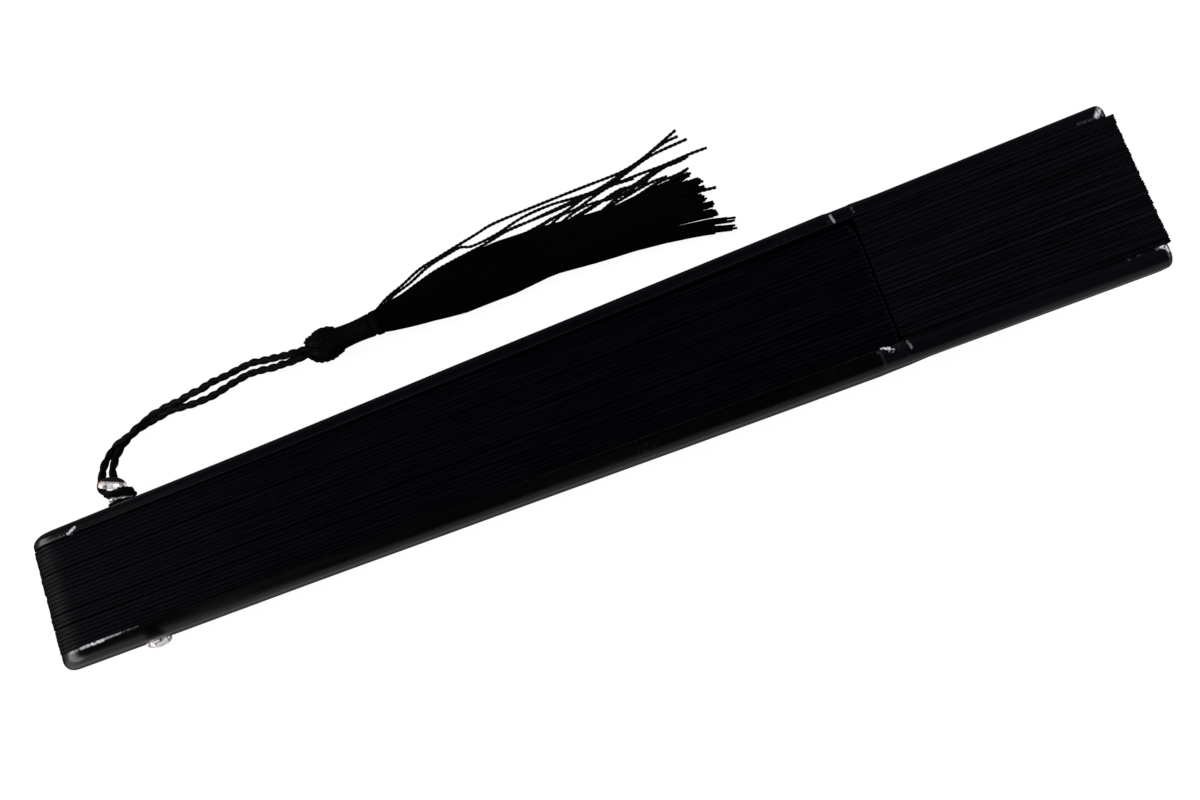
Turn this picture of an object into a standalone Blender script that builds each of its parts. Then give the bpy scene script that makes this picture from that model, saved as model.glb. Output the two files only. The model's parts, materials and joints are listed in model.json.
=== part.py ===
"""A folding fan, shut and lying on its narrow side, with a corded tassel on its rivet.

The length runs along X with the leaf at +X, the sticks are stacked along Y, and Z is up.
All sizes are in metres.
"""

import math

import bmesh
import bpy
from mathutils import Matrix, Vector

# Whole fan
FAN_LENGTH = 0.230
STACK_THICKNESS = 0.0292
TAIL_ROUND = 0.011
LEAF_LENGTH = 0.0439

# Pivot
PIVOT_FROM_TAIL = 0.0216
PIN_RADIUS = 0.00125
PIN_CLEARANCE = 0.00015
SEAT_GAP = 0.00015
NEAR_HEAD_RADIUS = 0.0025
NEAR_HEAD_HEIGHT = 0.0017
FAR_HEAD_RADIUS = 0.0031
FAR_HEAD_HEIGHT = 0.0024
HEAD_RIM = 0.0005
HEAD_RECESS = 0.0011
WASHER_RADIUS = 0.0030
WASHER_THICKNESS = 0.0006
NECK_LENGTH = 0.0033

# Guards
GUARD_WIDTH = 0.019
GUARD_TIP_SETBACK = 0.0009
GUARD_THICKNESS = 0.0031
GUARD_CROWN = 0.0009
GUARD_END_THICKNESS = 0.0022
GUARD_END_SETBACK = 0.00055
GUARD_END_CORNER = 0.0022
WAIST_LENGTH = 0.0042
WAIST_DEPTH = 0.0004
WAIST_LAP = 0.001
WAIST_PAST_SHOULDER = 0.0002

# Ribs
RIB_COUNT = 26
RIB_THICKNESS = 0.0006
RIB_GUARD_GAP = 0.0002
RIB_EDGE_SETBACK = 0.0009
SHOULDER_RADIUS = 0.0025
SLIP_THICKNESS = 0.00025
SLIP_ROOT_WIDTH = 0.009
SLIP_TIP_WIDTH = 0.005
SLIP_LAP = 0.003
SLIP_TIP_SETBACK = 0.006

# Leaf
LEAF_ROOT_GAP = 0.0005
LEAF_EDGE_SETBACK = 0.0008
CLOTH_THICKNESS = 0.00012
CLOTH_SLIP_GAP = 0.000085
CLOTH_FOLD_GAP = 0.00008

# Tassel: its places are measured from the fan's tail, its stack's middle plane and the table
CORD_DIAMETER = 0.0012
HITCH_CORD_DIAMETER = 0.0011
HITCH_SEAT_GAP = 0.0002
HITCH_TURN_GAP = 0.00063
KNOT_LENGTH = 0.0092
KNOT_WIDTH = 0.0075
KNOT_FROM_TAIL = 0.0756
KNOT_FROM_MIDDLE = 0.0329
KNOT_FLATTENING = 0.0001
NECK_RADIUS = 0.00265
NECK_BIND_LENGTH = 0.0070
BINDING_LENGTH = 0.0016
BINDING_PROUD = 0.0003
PIECE_GAP = 0.0003
SKIRT_LENGTH = 0.0770
SKIRT_SPREAD = 0.0066
SKIRT_DRIFT = 0.0047
SKIRT_DROOP = 0.0013
LOCK_RADIUS = 0.0009

# Counts
HITCH_TURNS = 3
TURN_POINTS = 24
ROUND_STEPS = 32
TAIL_STEPS = 16
CORNER_STEPS = 4
HOLE_STEPS = 16
KNOT_STEPS = 24
CROWN_STEPS = 192
SKIRT_STEPS = 20

# A cut runs past what it cuts by this much
OVERRUN = 0.002
MERGE = 0.000001

# Worked out from the sizes above
HALF_STACK = STACK_THICKNESS / 2
HALF_WIDTH = GUARD_WIDTH / 2
FAR_HEAD_TOP = HALF_STACK + SEAT_GAP + WASHER_THICKNESS + NECK_LENGTH + FAR_HEAD_HEIGHT
NEAR_HEAD_TOP = HALF_STACK + SEAT_GAP + NEAR_HEAD_HEIGHT
MIDDLE_Y = (NEAR_HEAD_TOP - FAR_HEAD_TOP) / 2
TAIL_X = -FAN_LENGTH / 2
PIVOT = Vector((TAIL_X + PIVOT_FROM_TAIL, MIDDLE_Y, HALF_WIDTH))
GORGE_FACE = HALF_STACK - GUARD_THICKNESS
END_FACE = HALF_STACK - GUARD_END_SETBACK - GUARD_END_THICKNESS
RIB_PITCH = (2 * GORGE_FACE - 2 * RIB_GUARD_GAP - RIB_THICKNESS) / (RIB_COUNT - 1)
RIB_HALF_WIDTH = HALF_WIDTH - RIB_EDGE_SETBACK
SHOULDER_FROM_TAIL = FAN_LENGTH - LEAF_LENGTH - LEAF_ROOT_GAP
GUARD_LENGTH = FAN_LENGTH - GUARD_TIP_SETBACK
GORGE_END = SHOULDER_FROM_TAIL + WAIST_PAST_SHOULDER - WAIST_LENGTH
HOLE_RADIUS = PIN_RADIUS + PIN_CLEARANCE

for old in list(bpy.data.objects):
    bpy.data.objects.remove(old, do_unlink=True)

fan = bpy.data.collections.new("folding_fan")
cutters = bpy.data.collections.new("cutters")
bpy.context.scene.collection.children.link(fan)
bpy.context.scene.collection.children.link(cutters)


def material(name, colour, roughness, metallic=0.0):
    """A Principled material."""
    made = bpy.data.materials.new(name)
    made.use_nodes = True
    shader = made.node_tree.nodes["Principled BSDF"]
    shader.inputs["Base Color"].default_value = (*colour, 1.0)
    shader.inputs["Roughness"].default_value = roughness
    shader.inputs["Metallic"].default_value = metallic
    made.diffuse_color = (*colour, 1.0)
    return made


GUARD_PAINT = material("black_guard_paint", (0.012, 0.011, 0.014), 0.35)
RIB_PAINT = material("black_rib_stain", (0.010, 0.009, 0.013), 0.5)
LEAF_CLOTH = material("black_leaf_cloth", (0.008, 0.008, 0.011), 0.8)
RIVET_METAL = material("nickel_rivet", (0.72, 0.66, 0.65), 0.22, 1.0)
TASSEL_SILK = material("black_tassel_silk", (0.007, 0.007, 0.008), 0.6)


def finished(name, mesh, finish, location=(0, 0, 0)):
    """Puts a mesh into the fan's collection as one named sub-part."""
    piece = bpy.data.objects.new(name, mesh)
    piece.location = location
    if not mesh.materials:
        mesh.materials.append(finish)
    fan.objects.link(piece)
    return piece


def as_mesh(thing, name):
    """The evaluated mesh of an object, in its own frame, with its doubled points welded."""
    graph = bpy.context.evaluated_depsgraph_get()
    mesh = bpy.data.meshes.new_from_object(thing.evaluated_get(graph))
    mesh.name = name
    shape = bmesh.new()
    shape.from_mesh(mesh)
    bmesh.ops.remove_doubles(shape, verts=shape.verts, dist=MERGE)
    shape.to_mesh(mesh)
    shape.free()
    return mesh


def plate(name, outlines, thickness):
    """A flat plate in the XZ plane from closed outlines; an outline inside another is a hole."""
    curve = bpy.data.curves.new(name, "CURVE")
    curve.dimensions = "2D"
    curve.fill_mode = "BOTH"
    curve.extrude = thickness / 2
    for outline in outlines:
        spline = curve.splines.new("POLY")
        spline.points.add(len(outline) - 1)
        for point, (x, z) in zip(spline.points, outline):
            point.co = (x, z, 0, 1)
        spline.use_cyclic_u = True
    flat = bpy.data.objects.new(name, curve)
    cutters.objects.link(flat)
    mesh = as_mesh(flat, name)
    bpy.data.objects.remove(flat)
    mesh.transform(Matrix.Rotation(math.pi / 2, 4, "X"))
    return mesh


def arc(centre, radii, start, end, steps):
    """Points along an elliptical arc, both ends among them; the angles are in degrees."""
    points = []
    for i in range(steps + 1):
        turn = math.radians(start + (end - start) * i / steps)
        points.append((centre[0] + radii[0] * math.cos(turn), centre[1] + radii[1] * math.sin(turn)))
    return points


def helper(name, mesh):
    """An object that only shapes others."""
    thing = bpy.data.objects.new(name, mesh)
    thing.hide_render = True
    thing.display_type = "WIRE"
    cutters.objects.link(thing)
    return thing


def boolean(thing, other, operation):
    """Adds an exact Boolean with another object."""
    step = thing.modifiers.new(operation.lower(), "BOOLEAN")
    step.operation = operation
    step.solver = "EXACT"
    step.object = other
    return step


def box_mesh(name, low, high):
    """A box between two corners."""
    shape = bmesh.new()
    bmesh.ops.create_cube(shape, size=1)
    for vert in shape.verts:
        for axis in range(3):
            vert.co[axis] = low[axis] if vert.co[axis] < 0 else high[axis]
    mesh = bpy.data.meshes.new(name)
    shape.to_mesh(mesh)
    shape.free()
    return mesh


def turned(name, profile, finish, location, steps=ROUND_STEPS):
    """A piece turned about the rivet's line: its profile is radius and distance along +Y."""
    mesh = bpy.data.meshes.new(name)
    shape = bmesh.new()
    verts = [shape.verts.new((radius, 0, along)) for radius, along in profile]
    for first, second in zip(verts, verts[1:]):
        shape.edges.new((first, second))
    shape.to_mesh(mesh)
    shape.free()
    form = bpy.data.objects.new(name, mesh)
    cutters.objects.link(form)
    screw = form.modifiers.new("turn", "SCREW")
    screw.axis = "Z"
    screw.steps = steps
    screw.render_steps = steps
    screw.use_merge_vertices = True
    screw.merge_threshold = MERGE
    solid = as_mesh(form, name)
    bpy.data.objects.remove(form)
    solid.transform(Matrix.Rotation(-math.pi / 2, 4, "X"))
    solid.shade_smooth()
    solid.set_sharp_from_angle(angle=math.radians(35))
    return finished(name, solid, finish, location)


def tail_arc(half_width):
    """The half ellipse that ends every stick at the tail, from the lower edge to the upper one."""
    centre = (TAIL_ROUND - PIVOT_FROM_TAIL, 0)
    return arc(centre, (TAIL_ROUND, half_width), 270, 90, TAIL_STEPS)


# Guards

def guard(name, side):
    """An outer stick: a crowned handle, a shallow waist and a flat end on which the leaf is glued.

    It is built with its inner face at Y zero and the crown towards +Y, about the pivot.
    """
    start = -PIVOT_FROM_TAIL
    hole = arc((0, 0), (HOLE_RADIUS, HOLE_RADIUS), 0, 360, HOLE_STEPS)[:-1]
    outline = tail_arc(HALF_WIDTH)
    outline += [(start + GORGE_END, HALF_WIDTH), (start + GORGE_END, -HALF_WIDTH)]
    handle = plate(name, [outline, hole], GUARD_THICKNESS)
    handle.transform(Matrix.Translation((0, GUARD_THICKNESS / 2, 0)))

    crown_radius = (HALF_WIDTH ** 2 + GUARD_CROWN ** 2) / (2 * GUARD_CROWN)
    crown_place = Matrix.Translation((FAN_LENGTH / 2 + start, GUARD_THICKNESS - crown_radius, 0))
    crown = bmesh.new()
    bmesh.ops.create_cone(crown, cap_ends=True, segments=CROWN_STEPS, radius1=crown_radius,
                          radius2=crown_radius, depth=FAN_LENGTH + OVERRUN,
                          matrix=crown_place @ Matrix.Rotation(math.pi / 2, 4, "Y"))
    crown_mesh = bpy.data.meshes.new("crown")
    crown.to_mesh(crown_mesh)
    crown.free()

    waist_face = GUARD_THICKNESS - GUARD_END_SETBACK - WAIST_DEPTH
    end_inner = END_FACE - GORGE_FACE
    waist = box_mesh("waist", (start + GORGE_END - WAIST_LAP, end_inner + MERGE, -HALF_WIDTH + WAIST_DEPTH),
                     (start + GORGE_END + WAIST_LENGTH + WAIST_LAP, waist_face, HALF_WIDTH - WAIST_DEPTH))

    end_start = start + GORGE_END + WAIST_LENGTH
    end_stop = start + GUARD_LENGTH
    corner = GUARD_END_CORNER
    end_outline = [(end_start, -HALF_WIDTH)]
    end_outline += arc((end_stop - corner, -HALF_WIDTH + corner), (corner, corner), 270, 360, CORNER_STEPS)
    end_outline += arc((end_stop - corner, HALF_WIDTH - corner), (corner, corner), 0, 90, CORNER_STEPS)
    end_outline += [(end_start, HALF_WIDTH)]
    end = plate("guard_end", [end_outline], GUARD_END_THICKNESS)
    end.transform(Matrix.Translation((0, end_inner + GUARD_END_THICKNESS / 2, 0)))

    form = helper(name + "_form", handle)
    boolean(form, helper("crown", crown_mesh), "INTERSECT")
    boolean(form, helper("waist", waist), "UNION")
    boolean(form, helper("end", end), "UNION")
    solid = as_mesh(form, name)
    if side < 0:
        solid.transform(Matrix.Scale(-1, 4, (0, 1, 0)))
        solid.flip_normals()
    solid.shade_smooth()
    solid.set_sharp_from_angle(angle=math.radians(20))
    return finished(name, solid, GUARD_PAINT, PIVOT + Vector((0, side * GORGE_FACE, 0)))


guard("guard_near", -1)
guard("guard_far", 1)


# Ribs

def rib_mesh():
    """A thin stick: a wide gorge part with round shoulders, and a narrow slip that the leaf hides."""
    start = -PIVOT_FROM_TAIL
    shoulder = start + SHOULDER_FROM_TAIL
    hole = arc((0, 0), (HOLE_RADIUS, HOLE_RADIUS), 0, 360, HOLE_STEPS)[:-1]
    radius = SHOULDER_RADIUS
    outline = tail_arc(RIB_HALF_WIDTH)
    outline += arc((shoulder - radius, RIB_HALF_WIDTH - radius), (radius, radius), 90, 0, CORNER_STEPS)
    outline += arc((shoulder - radius, -RIB_HALF_WIDTH + radius), (radius, radius), 0, -90, CORNER_STEPS)
    gorge = helper("rib_gorge", plate("rib", [outline, hole], RIB_THICKNESS))

    tip = start + FAN_LENGTH - SLIP_TIP_SETBACK
    root = shoulder - SLIP_LAP
    half_root = SLIP_ROOT_WIDTH / 2
    half_tip = SLIP_TIP_WIDTH / 2
    slip_outline = [(root, -half_root)]
    slip_outline += arc((tip - half_tip, 0), (half_tip, half_tip), -90, 90, CORNER_STEPS * 2)
    slip_outline += [(root, half_root)]
    slip = helper("slip", plate("slip", [slip_outline], SLIP_THICKNESS))
    boolean(gorge, slip, "UNION")
    return as_mesh(gorge, "rib")


def stick_y(number):
    """A stick's place along the stack; the near guard is 0 and the far guard is one past the last rib."""
    return (number - (RIB_COUNT + 1) / 2) * RIB_PITCH


shared_rib = rib_mesh()
for number in range(1, RIB_COUNT + 1):
    finished(f"rib_{number:02d}", shared_rib, RIB_PAINT, PIVOT + Vector((0, stick_y(number), 0)))


# Leaf

def leaf():
    """One pleated strip of cloth: at each stick a glued facet, then a free facet back to the next stick."""
    low = LEAF_EDGE_SETBACK - HALF_WIDTH
    high = -low
    glued_offset = SLIP_THICKNESS / 2 + CLOTH_SLIP_GAP + CLOTH_THICKNESS / 2
    free_offset = glued_offset + CLOTH_THICKNESS + CLOTH_FOLD_GAP
    line = []
    for number in range(RIB_COUNT + 2):
        glued = stick_y(number) + glued_offset
        if number > RIB_COUNT:
            glued = END_FACE - CLOTH_SLIP_GAP - CLOTH_THICKNESS / 2
        line += [(glued, low), (glued, high)]
        if number <= RIB_COUNT:
            free = stick_y(number) + free_offset
            line += [(free, high), (free, low)]
    shape = bmesh.new()
    start = SHOULDER_FROM_TAIL + LEAF_ROOT_GAP - PIVOT_FROM_TAIL
    verts = [shape.verts.new((start, y, z)) for y, z in line]
    edges = [shape.edges.new(pair) for pair in zip(verts, verts[1:])]
    grown = bmesh.ops.extrude_edge_only(shape, edges=edges)
    new_verts = [item for item in grown["geom"] if isinstance(item, bmesh.types.BMVert)]
    bmesh.ops.translate(shape, verts=new_verts, vec=(LEAF_LENGTH, 0, 0))
    bmesh.ops.recalc_face_normals(shape, faces=shape.faces)
    mesh = bpy.data.meshes.new("leaf")
    shape.to_mesh(mesh)
    shape.free()
    piece = finished("leaf", mesh, LEAF_CLOTH, PIVOT)
    wall = piece.modifiers.new("cloth", "SOLIDIFY")
    wall.thickness = CLOTH_THICKNESS
    wall.offset = 0
    wall.use_even_offset = True
    return piece


leaf()


# Rivet

def dome(radius, rim, height, start, out):
    """A mushroom head's profile from its edge to its middle, going out along the rivet's line."""
    points = [(radius, start), (radius, start + out * rim)]
    bulge = height - rim
    for x, y in arc((0, 0), (radius, bulge), 0, 90, CORNER_STEPS * 2)[1:-1]:
        points.append((x, start + out * (rim + y)))
    points.append((0, start + out * height))
    return points


near_seat = -(HALF_STACK + SEAT_GAP)
neck_start = HALF_STACK + SEAT_GAP + WASHER_THICKNESS
far_seat = neck_start + NECK_LENGTH
pin_end = far_seat + HEAD_RECESS - SEAT_GAP

pin_profile = [(0, pin_end), (PIN_RADIUS, pin_end), (PIN_RADIUS, near_seat)]
pin_profile += dome(NEAR_HEAD_RADIUS, HEAD_RIM, NEAR_HEAD_HEIGHT, near_seat, -1)
turned("rivet_pin", pin_profile, RIVET_METAL, PIVOT)

washer_seat = neck_start - WASHER_THICKNESS
washer_profile = [(HOLE_RADIUS, neck_start), (WASHER_RADIUS, neck_start)]
washer_profile += [(WASHER_RADIUS, washer_seat), (HOLE_RADIUS, washer_seat)]
washer_profile += [washer_profile[0]]
turned("rivet_washer", washer_profile, RIVET_METAL, PIVOT)

cap_profile = dome(FAR_HEAD_RADIUS, HEAD_RIM, FAR_HEAD_HEIGHT, far_seat, 1)[::-1]
cap_profile += [(HOLE_RADIUS, far_seat), (HOLE_RADIUS, far_seat + HEAD_RECESS), (0, far_seat + HEAD_RECESS)]
turned("rivet_cap", cap_profile, RIVET_METAL, PIVOT)


# Tassel

# The cord's middle line from the rivet's neck to the knot, and how far each strand lies to its side
CORD_ROUTE = (
    (0.0224, 0.0176, 0.01470, 0.00085),
    (0.0227, 0.0202, 0.01440, 0.00085),
    (0.0230, 0.0225, 0.01350, 0.00090),
    (0.0228, 0.0246, 0.01150, 0.00100),
    (0.0218, 0.0268, 0.00820, 0.00100),
    (0.0209, 0.0288, 0.00480, 0.00090),
    (0.0211, 0.0306, 0.00220, 0.00080),
    (0.0232, 0.0322, 0.00100, 0.00078),
    (0.0270, 0.0334, 0.00080, 0.00078),
    (0.0315, 0.0342, 0.00080, 0.00078),
    (0.0360, 0.0348, 0.00080, 0.00080),
    (0.0405, 0.0353, 0.00080, 0.00110),
    (0.0445, 0.0356, 0.00080, 0.00145),
    (0.0485, 0.0355, 0.00080, 0.00120),
    (0.0518, 0.0353, 0.00080, 0.00080),
    (0.0552, 0.0351, 0.00090, 0.00090),
    (0.0588, 0.0348, 0.00120, 0.00095),
    (0.0628, 0.0343, 0.00185, 0.00080),
    (0.0668, 0.0337, 0.00290, 0.00078),
    (0.0706, 0.0332, 0.00385, 0.00078),
)
ROUTE_STEPS = 4


def from_tail(x, y, z):
    """A place given from the tail, the stack's middle and the table, in the model's own frame."""
    return Vector((TAIL_X + x, MIDDLE_Y + y, z))


def smooth_route(points, steps):
    """Points along a Catmull-Rom curve through the given ones."""
    path = [points[0] * 2 - points[1], *points, points[-1] * 2 - points[-2]]
    line = []
    for before, first, second, after in zip(path, path[1:], path[2:], path[3:]):
        for i in range(steps):
            t = i / steps
            line.append((first * 2 + (second - before) * t
                         + (before * 2 - first * 5 + second * 4 - after) * t ** 2
                         + (first * 3 - before - second * 3 + after) * t ** 3) / 2)
    line.append(points[-1].copy())
    return line


def tube(name, line, radii, resolution=2):
    """A round tube along a line, with a radius for each of its points."""
    curve = bpy.data.curves.new(name, "CURVE")
    curve.dimensions = "3D"
    curve.bevel_depth = 1
    curve.bevel_resolution = resolution
    curve.use_fill_caps = True
    spline = curve.splines.new("POLY")
    spline.points.add(len(line) - 1)
    for point, place, radius in zip(spline.points, line, radii):
        point.co = (*place, 1)
        point.radius = radius
    form = bpy.data.objects.new(name, curve)
    cutters.objects.link(form)
    mesh = as_mesh(form, name)
    bpy.data.objects.remove(form)
    mesh.materials.clear()
    mesh.shade_smooth()
    return mesh


def strand(name, side):
    """One of the cord's two strands, beside its middle line."""
    middle = [from_tail(x, y, z) for x, y, z, _ in CORD_ROUTE]
    placed = []
    for i, point in enumerate(middle):
        ahead = middle[min(i + 1, len(middle) - 1)] - middle[max(i - 1, 0)]
        across = Vector((-ahead.y, ahead.x, 0)).normalized()
        placed.append(point + across * side * CORD_ROUTE[i][3])
    line = smooth_route(placed, ROUTE_STEPS)
    length = sum((b - a).length for a, b in zip(line, line[1:]))
    print(f"{name} is {length:.4f} m long")
    return finished(name, tube(name, line, [CORD_DIAMETER / 2] * len(line)), TASSEL_SILK)


def eased(value):
    """A smooth step from 0 to 1."""
    value = min(1, max(0, value))
    return value * value * (3 - 2 * value)


def hitch():
    """The cord's turns round the rivet's neck: in from the outer layer, along the neck and out again."""
    inner = PIN_RADIUS + HITCH_SEAT_GAP + HITCH_CORD_DIAMETER / 2
    step = HITCH_CORD_DIAMETER + HITCH_TURN_GAP
    # In turns: half the outer layer, the climb from one layer to the other, and where the two meet
    climb_shares = (0.45, 0.95)
    along = HITCH_TURNS - 2 * climb_shares[1]
    middle = PIVOT + Vector((0, neck_start + NECK_LENGTH / 2, 0))
    line = []
    for i in range(HITCH_TURNS * TURN_POINTS + 1):
        turn = i / TURN_POINTS
        from_end = min(turn, HITCH_TURNS - turn)
        layer = 1 - eased((from_end - climb_shares[0]) / (climb_shares[1] - climb_shares[0]))
        side = min(1, max(0, (turn - climb_shares[1]) / along)) - 1 / 2
        angle = math.radians(90 - 360 * turn)
        radius = inner + step * layer
        offset = Vector((radius * math.cos(angle), side * along * step, radius * math.sin(angle)))
        line.append(middle + offset)
    gaps = [(a - b).length for i, a in enumerate(line) for b in line[i + TURN_POINTS // 2:]]
    print(f"cord_hitch: least gap to itself {min(gaps) - HITCH_CORD_DIAMETER:.5f} m")
    mesh = tube("cord_hitch", line, [HITCH_CORD_DIAMETER / 2] * len(line), 1)
    return finished("cord_hitch", mesh, TASSEL_SILK)


def knot():
    """The round woven knot between cord and tassel."""
    ball = bmesh.new()
    bmesh.ops.create_uvsphere(ball, u_segments=KNOT_STEPS, v_segments=HOLE_STEPS, radius=1)
    mesh = bpy.data.meshes.new("tassel_knot")
    ball.to_mesh(mesh)
    ball.free()
    mesh.transform(Matrix.Diagonal((KNOT_LENGTH / 2, KNOT_WIDTH / 2, KNOT_WIDTH / 2 - KNOT_FLATTENING, 1)))
    mesh.shade_smooth()
    return finished("tassel_knot", mesh, TASSEL_SILK, knot_centre)


def loft(name, stations):
    """A closed form through ellipses square to X: each has its middle, half width and half height."""
    shape = bmesh.new()
    rings = []
    for middle, half_y, half_z in stations:
        ring = []
        for i in range(SKIRT_STEPS):
            turn = 2 * math.pi * i / SKIRT_STEPS
            offset = Vector((0, half_y * math.cos(turn), half_z * math.sin(turn)))
            ring.append(shape.verts.new(middle + offset))
        rings.append(ring)
    for ring in rings:
        for i in range(SKIRT_STEPS):
            shape.edges.new((ring[i], ring[(i + 1) % SKIRT_STEPS]))
    for first, second in zip(rings, rings[1:]):
        edges = [shape.edges.get((ring[i], ring[(i + 1) % SKIRT_STEPS])) for ring in (first, second)
                 for i in range(SKIRT_STEPS)]
        bmesh.ops.bridge_loops(shape, edges=edges)
    shape.faces.new(rings[0])
    shape.faces.new(rings[-1])
    bmesh.ops.recalc_face_normals(shape, faces=shape.faces)
    mesh = bpy.data.meshes.new(name)
    shape.to_mesh(mesh)
    shape.free()
    mesh.shade_smooth()
    mesh.set_sharp_from_angle(angle=math.radians(50))
    return mesh


knot_centre = from_tail(KNOT_FROM_TAIL, KNOT_FROM_MIDDLE, KNOT_WIDTH / 2)
head_start = knot_centre + Vector((KNOT_LENGTH / 2 + PIECE_GAP, 0, 0))


def head():
    """The bound top of the tassel, a little waisted."""
    shares = ((0.0, 0.86, 0.0), (0.12, 0.98, 0.04), (0.3, 0.96, 0.2),
              (0.62, 0.90, 0.6), (0.9, 0.92, 0.95), (1.0, 0.88, 1.0))
    droop = knot_centre.z - NECK_RADIUS - SKIRT_DROOP
    stations = []
    for along, thick, fall in shares:
        middle = head_start + Vector((along * NECK_BIND_LENGTH, 0, -fall * droop))
        stations.append((middle, thick * NECK_RADIUS, thick * NECK_RADIUS))
    return finished("tassel_head", loft("tassel_head", stations), TASSEL_SILK)


def binding():
    """The whipping that holds the skirt's threads together."""
    droop = knot_centre.z - NECK_RADIUS - SKIRT_DROOP
    start = head_start + Vector((NECK_BIND_LENGTH + PIECE_GAP, 0, -droop))
    radius = NECK_RADIUS + BINDING_PROUD
    shares = ((0, 0.90), (0.2, 1.0), (0.8, 1.0), (1, 0.92))
    stations = []
    for along, thick in shares:
        stations.append((start + Vector((along * BINDING_LENGTH, 0, 0)), thick * radius, thick * radius))
    return finished("tassel_binding", loft("tassel_binding", stations), TASSEL_SILK)


def skirt():
    """The hanging threads as one flattened bundle with a looser lock beside it."""
    droop = knot_centre.z - NECK_RADIUS - SKIRT_DROOP
    start = head_start + Vector((NECK_BIND_LENGTH + PIECE_GAP + BINDING_LENGTH + PIECE_GAP, 0, -droop))
    # Along the length, half the width, half the height and the sideways drift
    shares = ((0.0, 0.38, 0.98, 0.0), (0.06, 0.60, 0.96, -0.10), (0.15, 0.72, 0.90, -0.08),
              (0.26, 0.86, 0.82, -0.08), (0.38, 0.93, 0.74, 0.0), (0.50, 0.88, 0.66, 0.10),
              (0.62, 0.84, 0.60, 0.16), (0.74, 0.85, 0.54, 0.34), (0.86, 0.98, 0.48, 0.50),
              (0.94, 1.0, 0.40, 0.74), (1.0, 0.74, 0.30, 1.0))
    stations = []
    for along, wide, high, aside in shares:
        half_z = high * (NECK_RADIUS - SKIRT_DROOP / 2)
        middle = Vector((start.x + along * SKIRT_LENGTH, start.y - aside * SKIRT_DRIFT, 0))
        middle.z = start.z + (half_z + PIECE_GAP - start.z) * min(1, along / shares[2][0])
        stations.append((middle, wide * SKIRT_SPREAD, half_z))
    form = helper("skirt_form", loft("tassel_skirt", stations))

    # Along the length, sideways and the thickness of the lock that lies apart
    lock_shares = ((0.04, 0.10, 0.6), (0.14, 0.80, 0.9), (0.25, 1.35, 1.0),
                   (0.37, 1.62, 0.9), (0.50, 1.50, 1.0), (0.64, 1.42, 0.9),
                   (0.78, 1.44, 0.8), (0.90, 1.52, 0.7), (0.98, 1.42, 0.5))
    points = []
    for along, aside, _ in lock_shares:
        height = start.z if along < shares[1][0] else LOCK_RADIUS + PIECE_GAP
        points.append(Vector((start.x + along * SKIRT_LENGTH, start.y + aside * SKIRT_SPREAD, height)))
    line = smooth_route(points, ROUTE_STEPS // 2)
    radii = []
    for i in range(len(line)):
        place = i / (len(line) - 1) * (len(lock_shares) - 1)
        before = min(int(place), len(lock_shares) - 2)
        part = place - before
        radii.append(LOCK_RADIUS * (lock_shares[before][2] * (1 - part) + lock_shares[before + 1][2] * part))
    lock = helper("lock_form", tube("lock_form", line, radii))
    boolean(form, lock, "UNION")
    solid = as_mesh(form, "tassel_skirt")
    solid.materials.clear()
    return finished("tassel_skirt", solid, TASSEL_SILK)


hitch()
strand("cord_strand_1", -1)
strand("cord_strand_2", 1)
knot()
head()
binding()
skirt()
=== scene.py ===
"""Dresses a shut folding fan: lacquered guards, stained ribs, a pleated cloth leaf, a metal
rivet and a corded silk tassel, lying on a white table under soft light."""

import json
import math
import random

import bmesh
import bpy
from mathutils import Matrix, Vector, noise


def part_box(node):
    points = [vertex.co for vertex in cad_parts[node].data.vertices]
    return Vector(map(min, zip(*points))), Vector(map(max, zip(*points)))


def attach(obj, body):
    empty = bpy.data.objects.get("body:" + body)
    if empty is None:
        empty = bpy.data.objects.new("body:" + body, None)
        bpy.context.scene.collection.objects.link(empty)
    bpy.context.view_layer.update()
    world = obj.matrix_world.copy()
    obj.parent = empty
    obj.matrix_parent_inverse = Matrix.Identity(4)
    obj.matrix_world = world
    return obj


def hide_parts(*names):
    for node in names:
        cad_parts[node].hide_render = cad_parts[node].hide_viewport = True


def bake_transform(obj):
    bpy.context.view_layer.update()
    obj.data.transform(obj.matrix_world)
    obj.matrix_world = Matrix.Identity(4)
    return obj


bl_info = {
    "name": "Folding fan with tassel",
    "version": (1, 0, 0),
    "blender": (4, 5, 0),
    "location": "View3D > Sidebar > Fan",
    "description": "Dresses a shut folding fan and its tassel",
    "category": "Object",
}

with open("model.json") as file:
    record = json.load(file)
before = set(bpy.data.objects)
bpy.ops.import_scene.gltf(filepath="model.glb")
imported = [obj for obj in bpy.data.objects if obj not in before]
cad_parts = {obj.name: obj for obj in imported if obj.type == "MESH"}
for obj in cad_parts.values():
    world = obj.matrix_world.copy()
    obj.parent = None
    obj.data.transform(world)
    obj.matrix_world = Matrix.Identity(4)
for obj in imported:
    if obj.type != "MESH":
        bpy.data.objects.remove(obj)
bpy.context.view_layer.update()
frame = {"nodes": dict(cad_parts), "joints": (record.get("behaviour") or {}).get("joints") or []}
PIVOT = Vector(frame["joints"][0]["pos_m"])
TAIL = Vector((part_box("guard_near")[0].x, PIVOT.y, 0))
RIBS = sorted(name for name in frame["nodes"] if name.startswith("rib_"))
MM = 0.001

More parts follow.
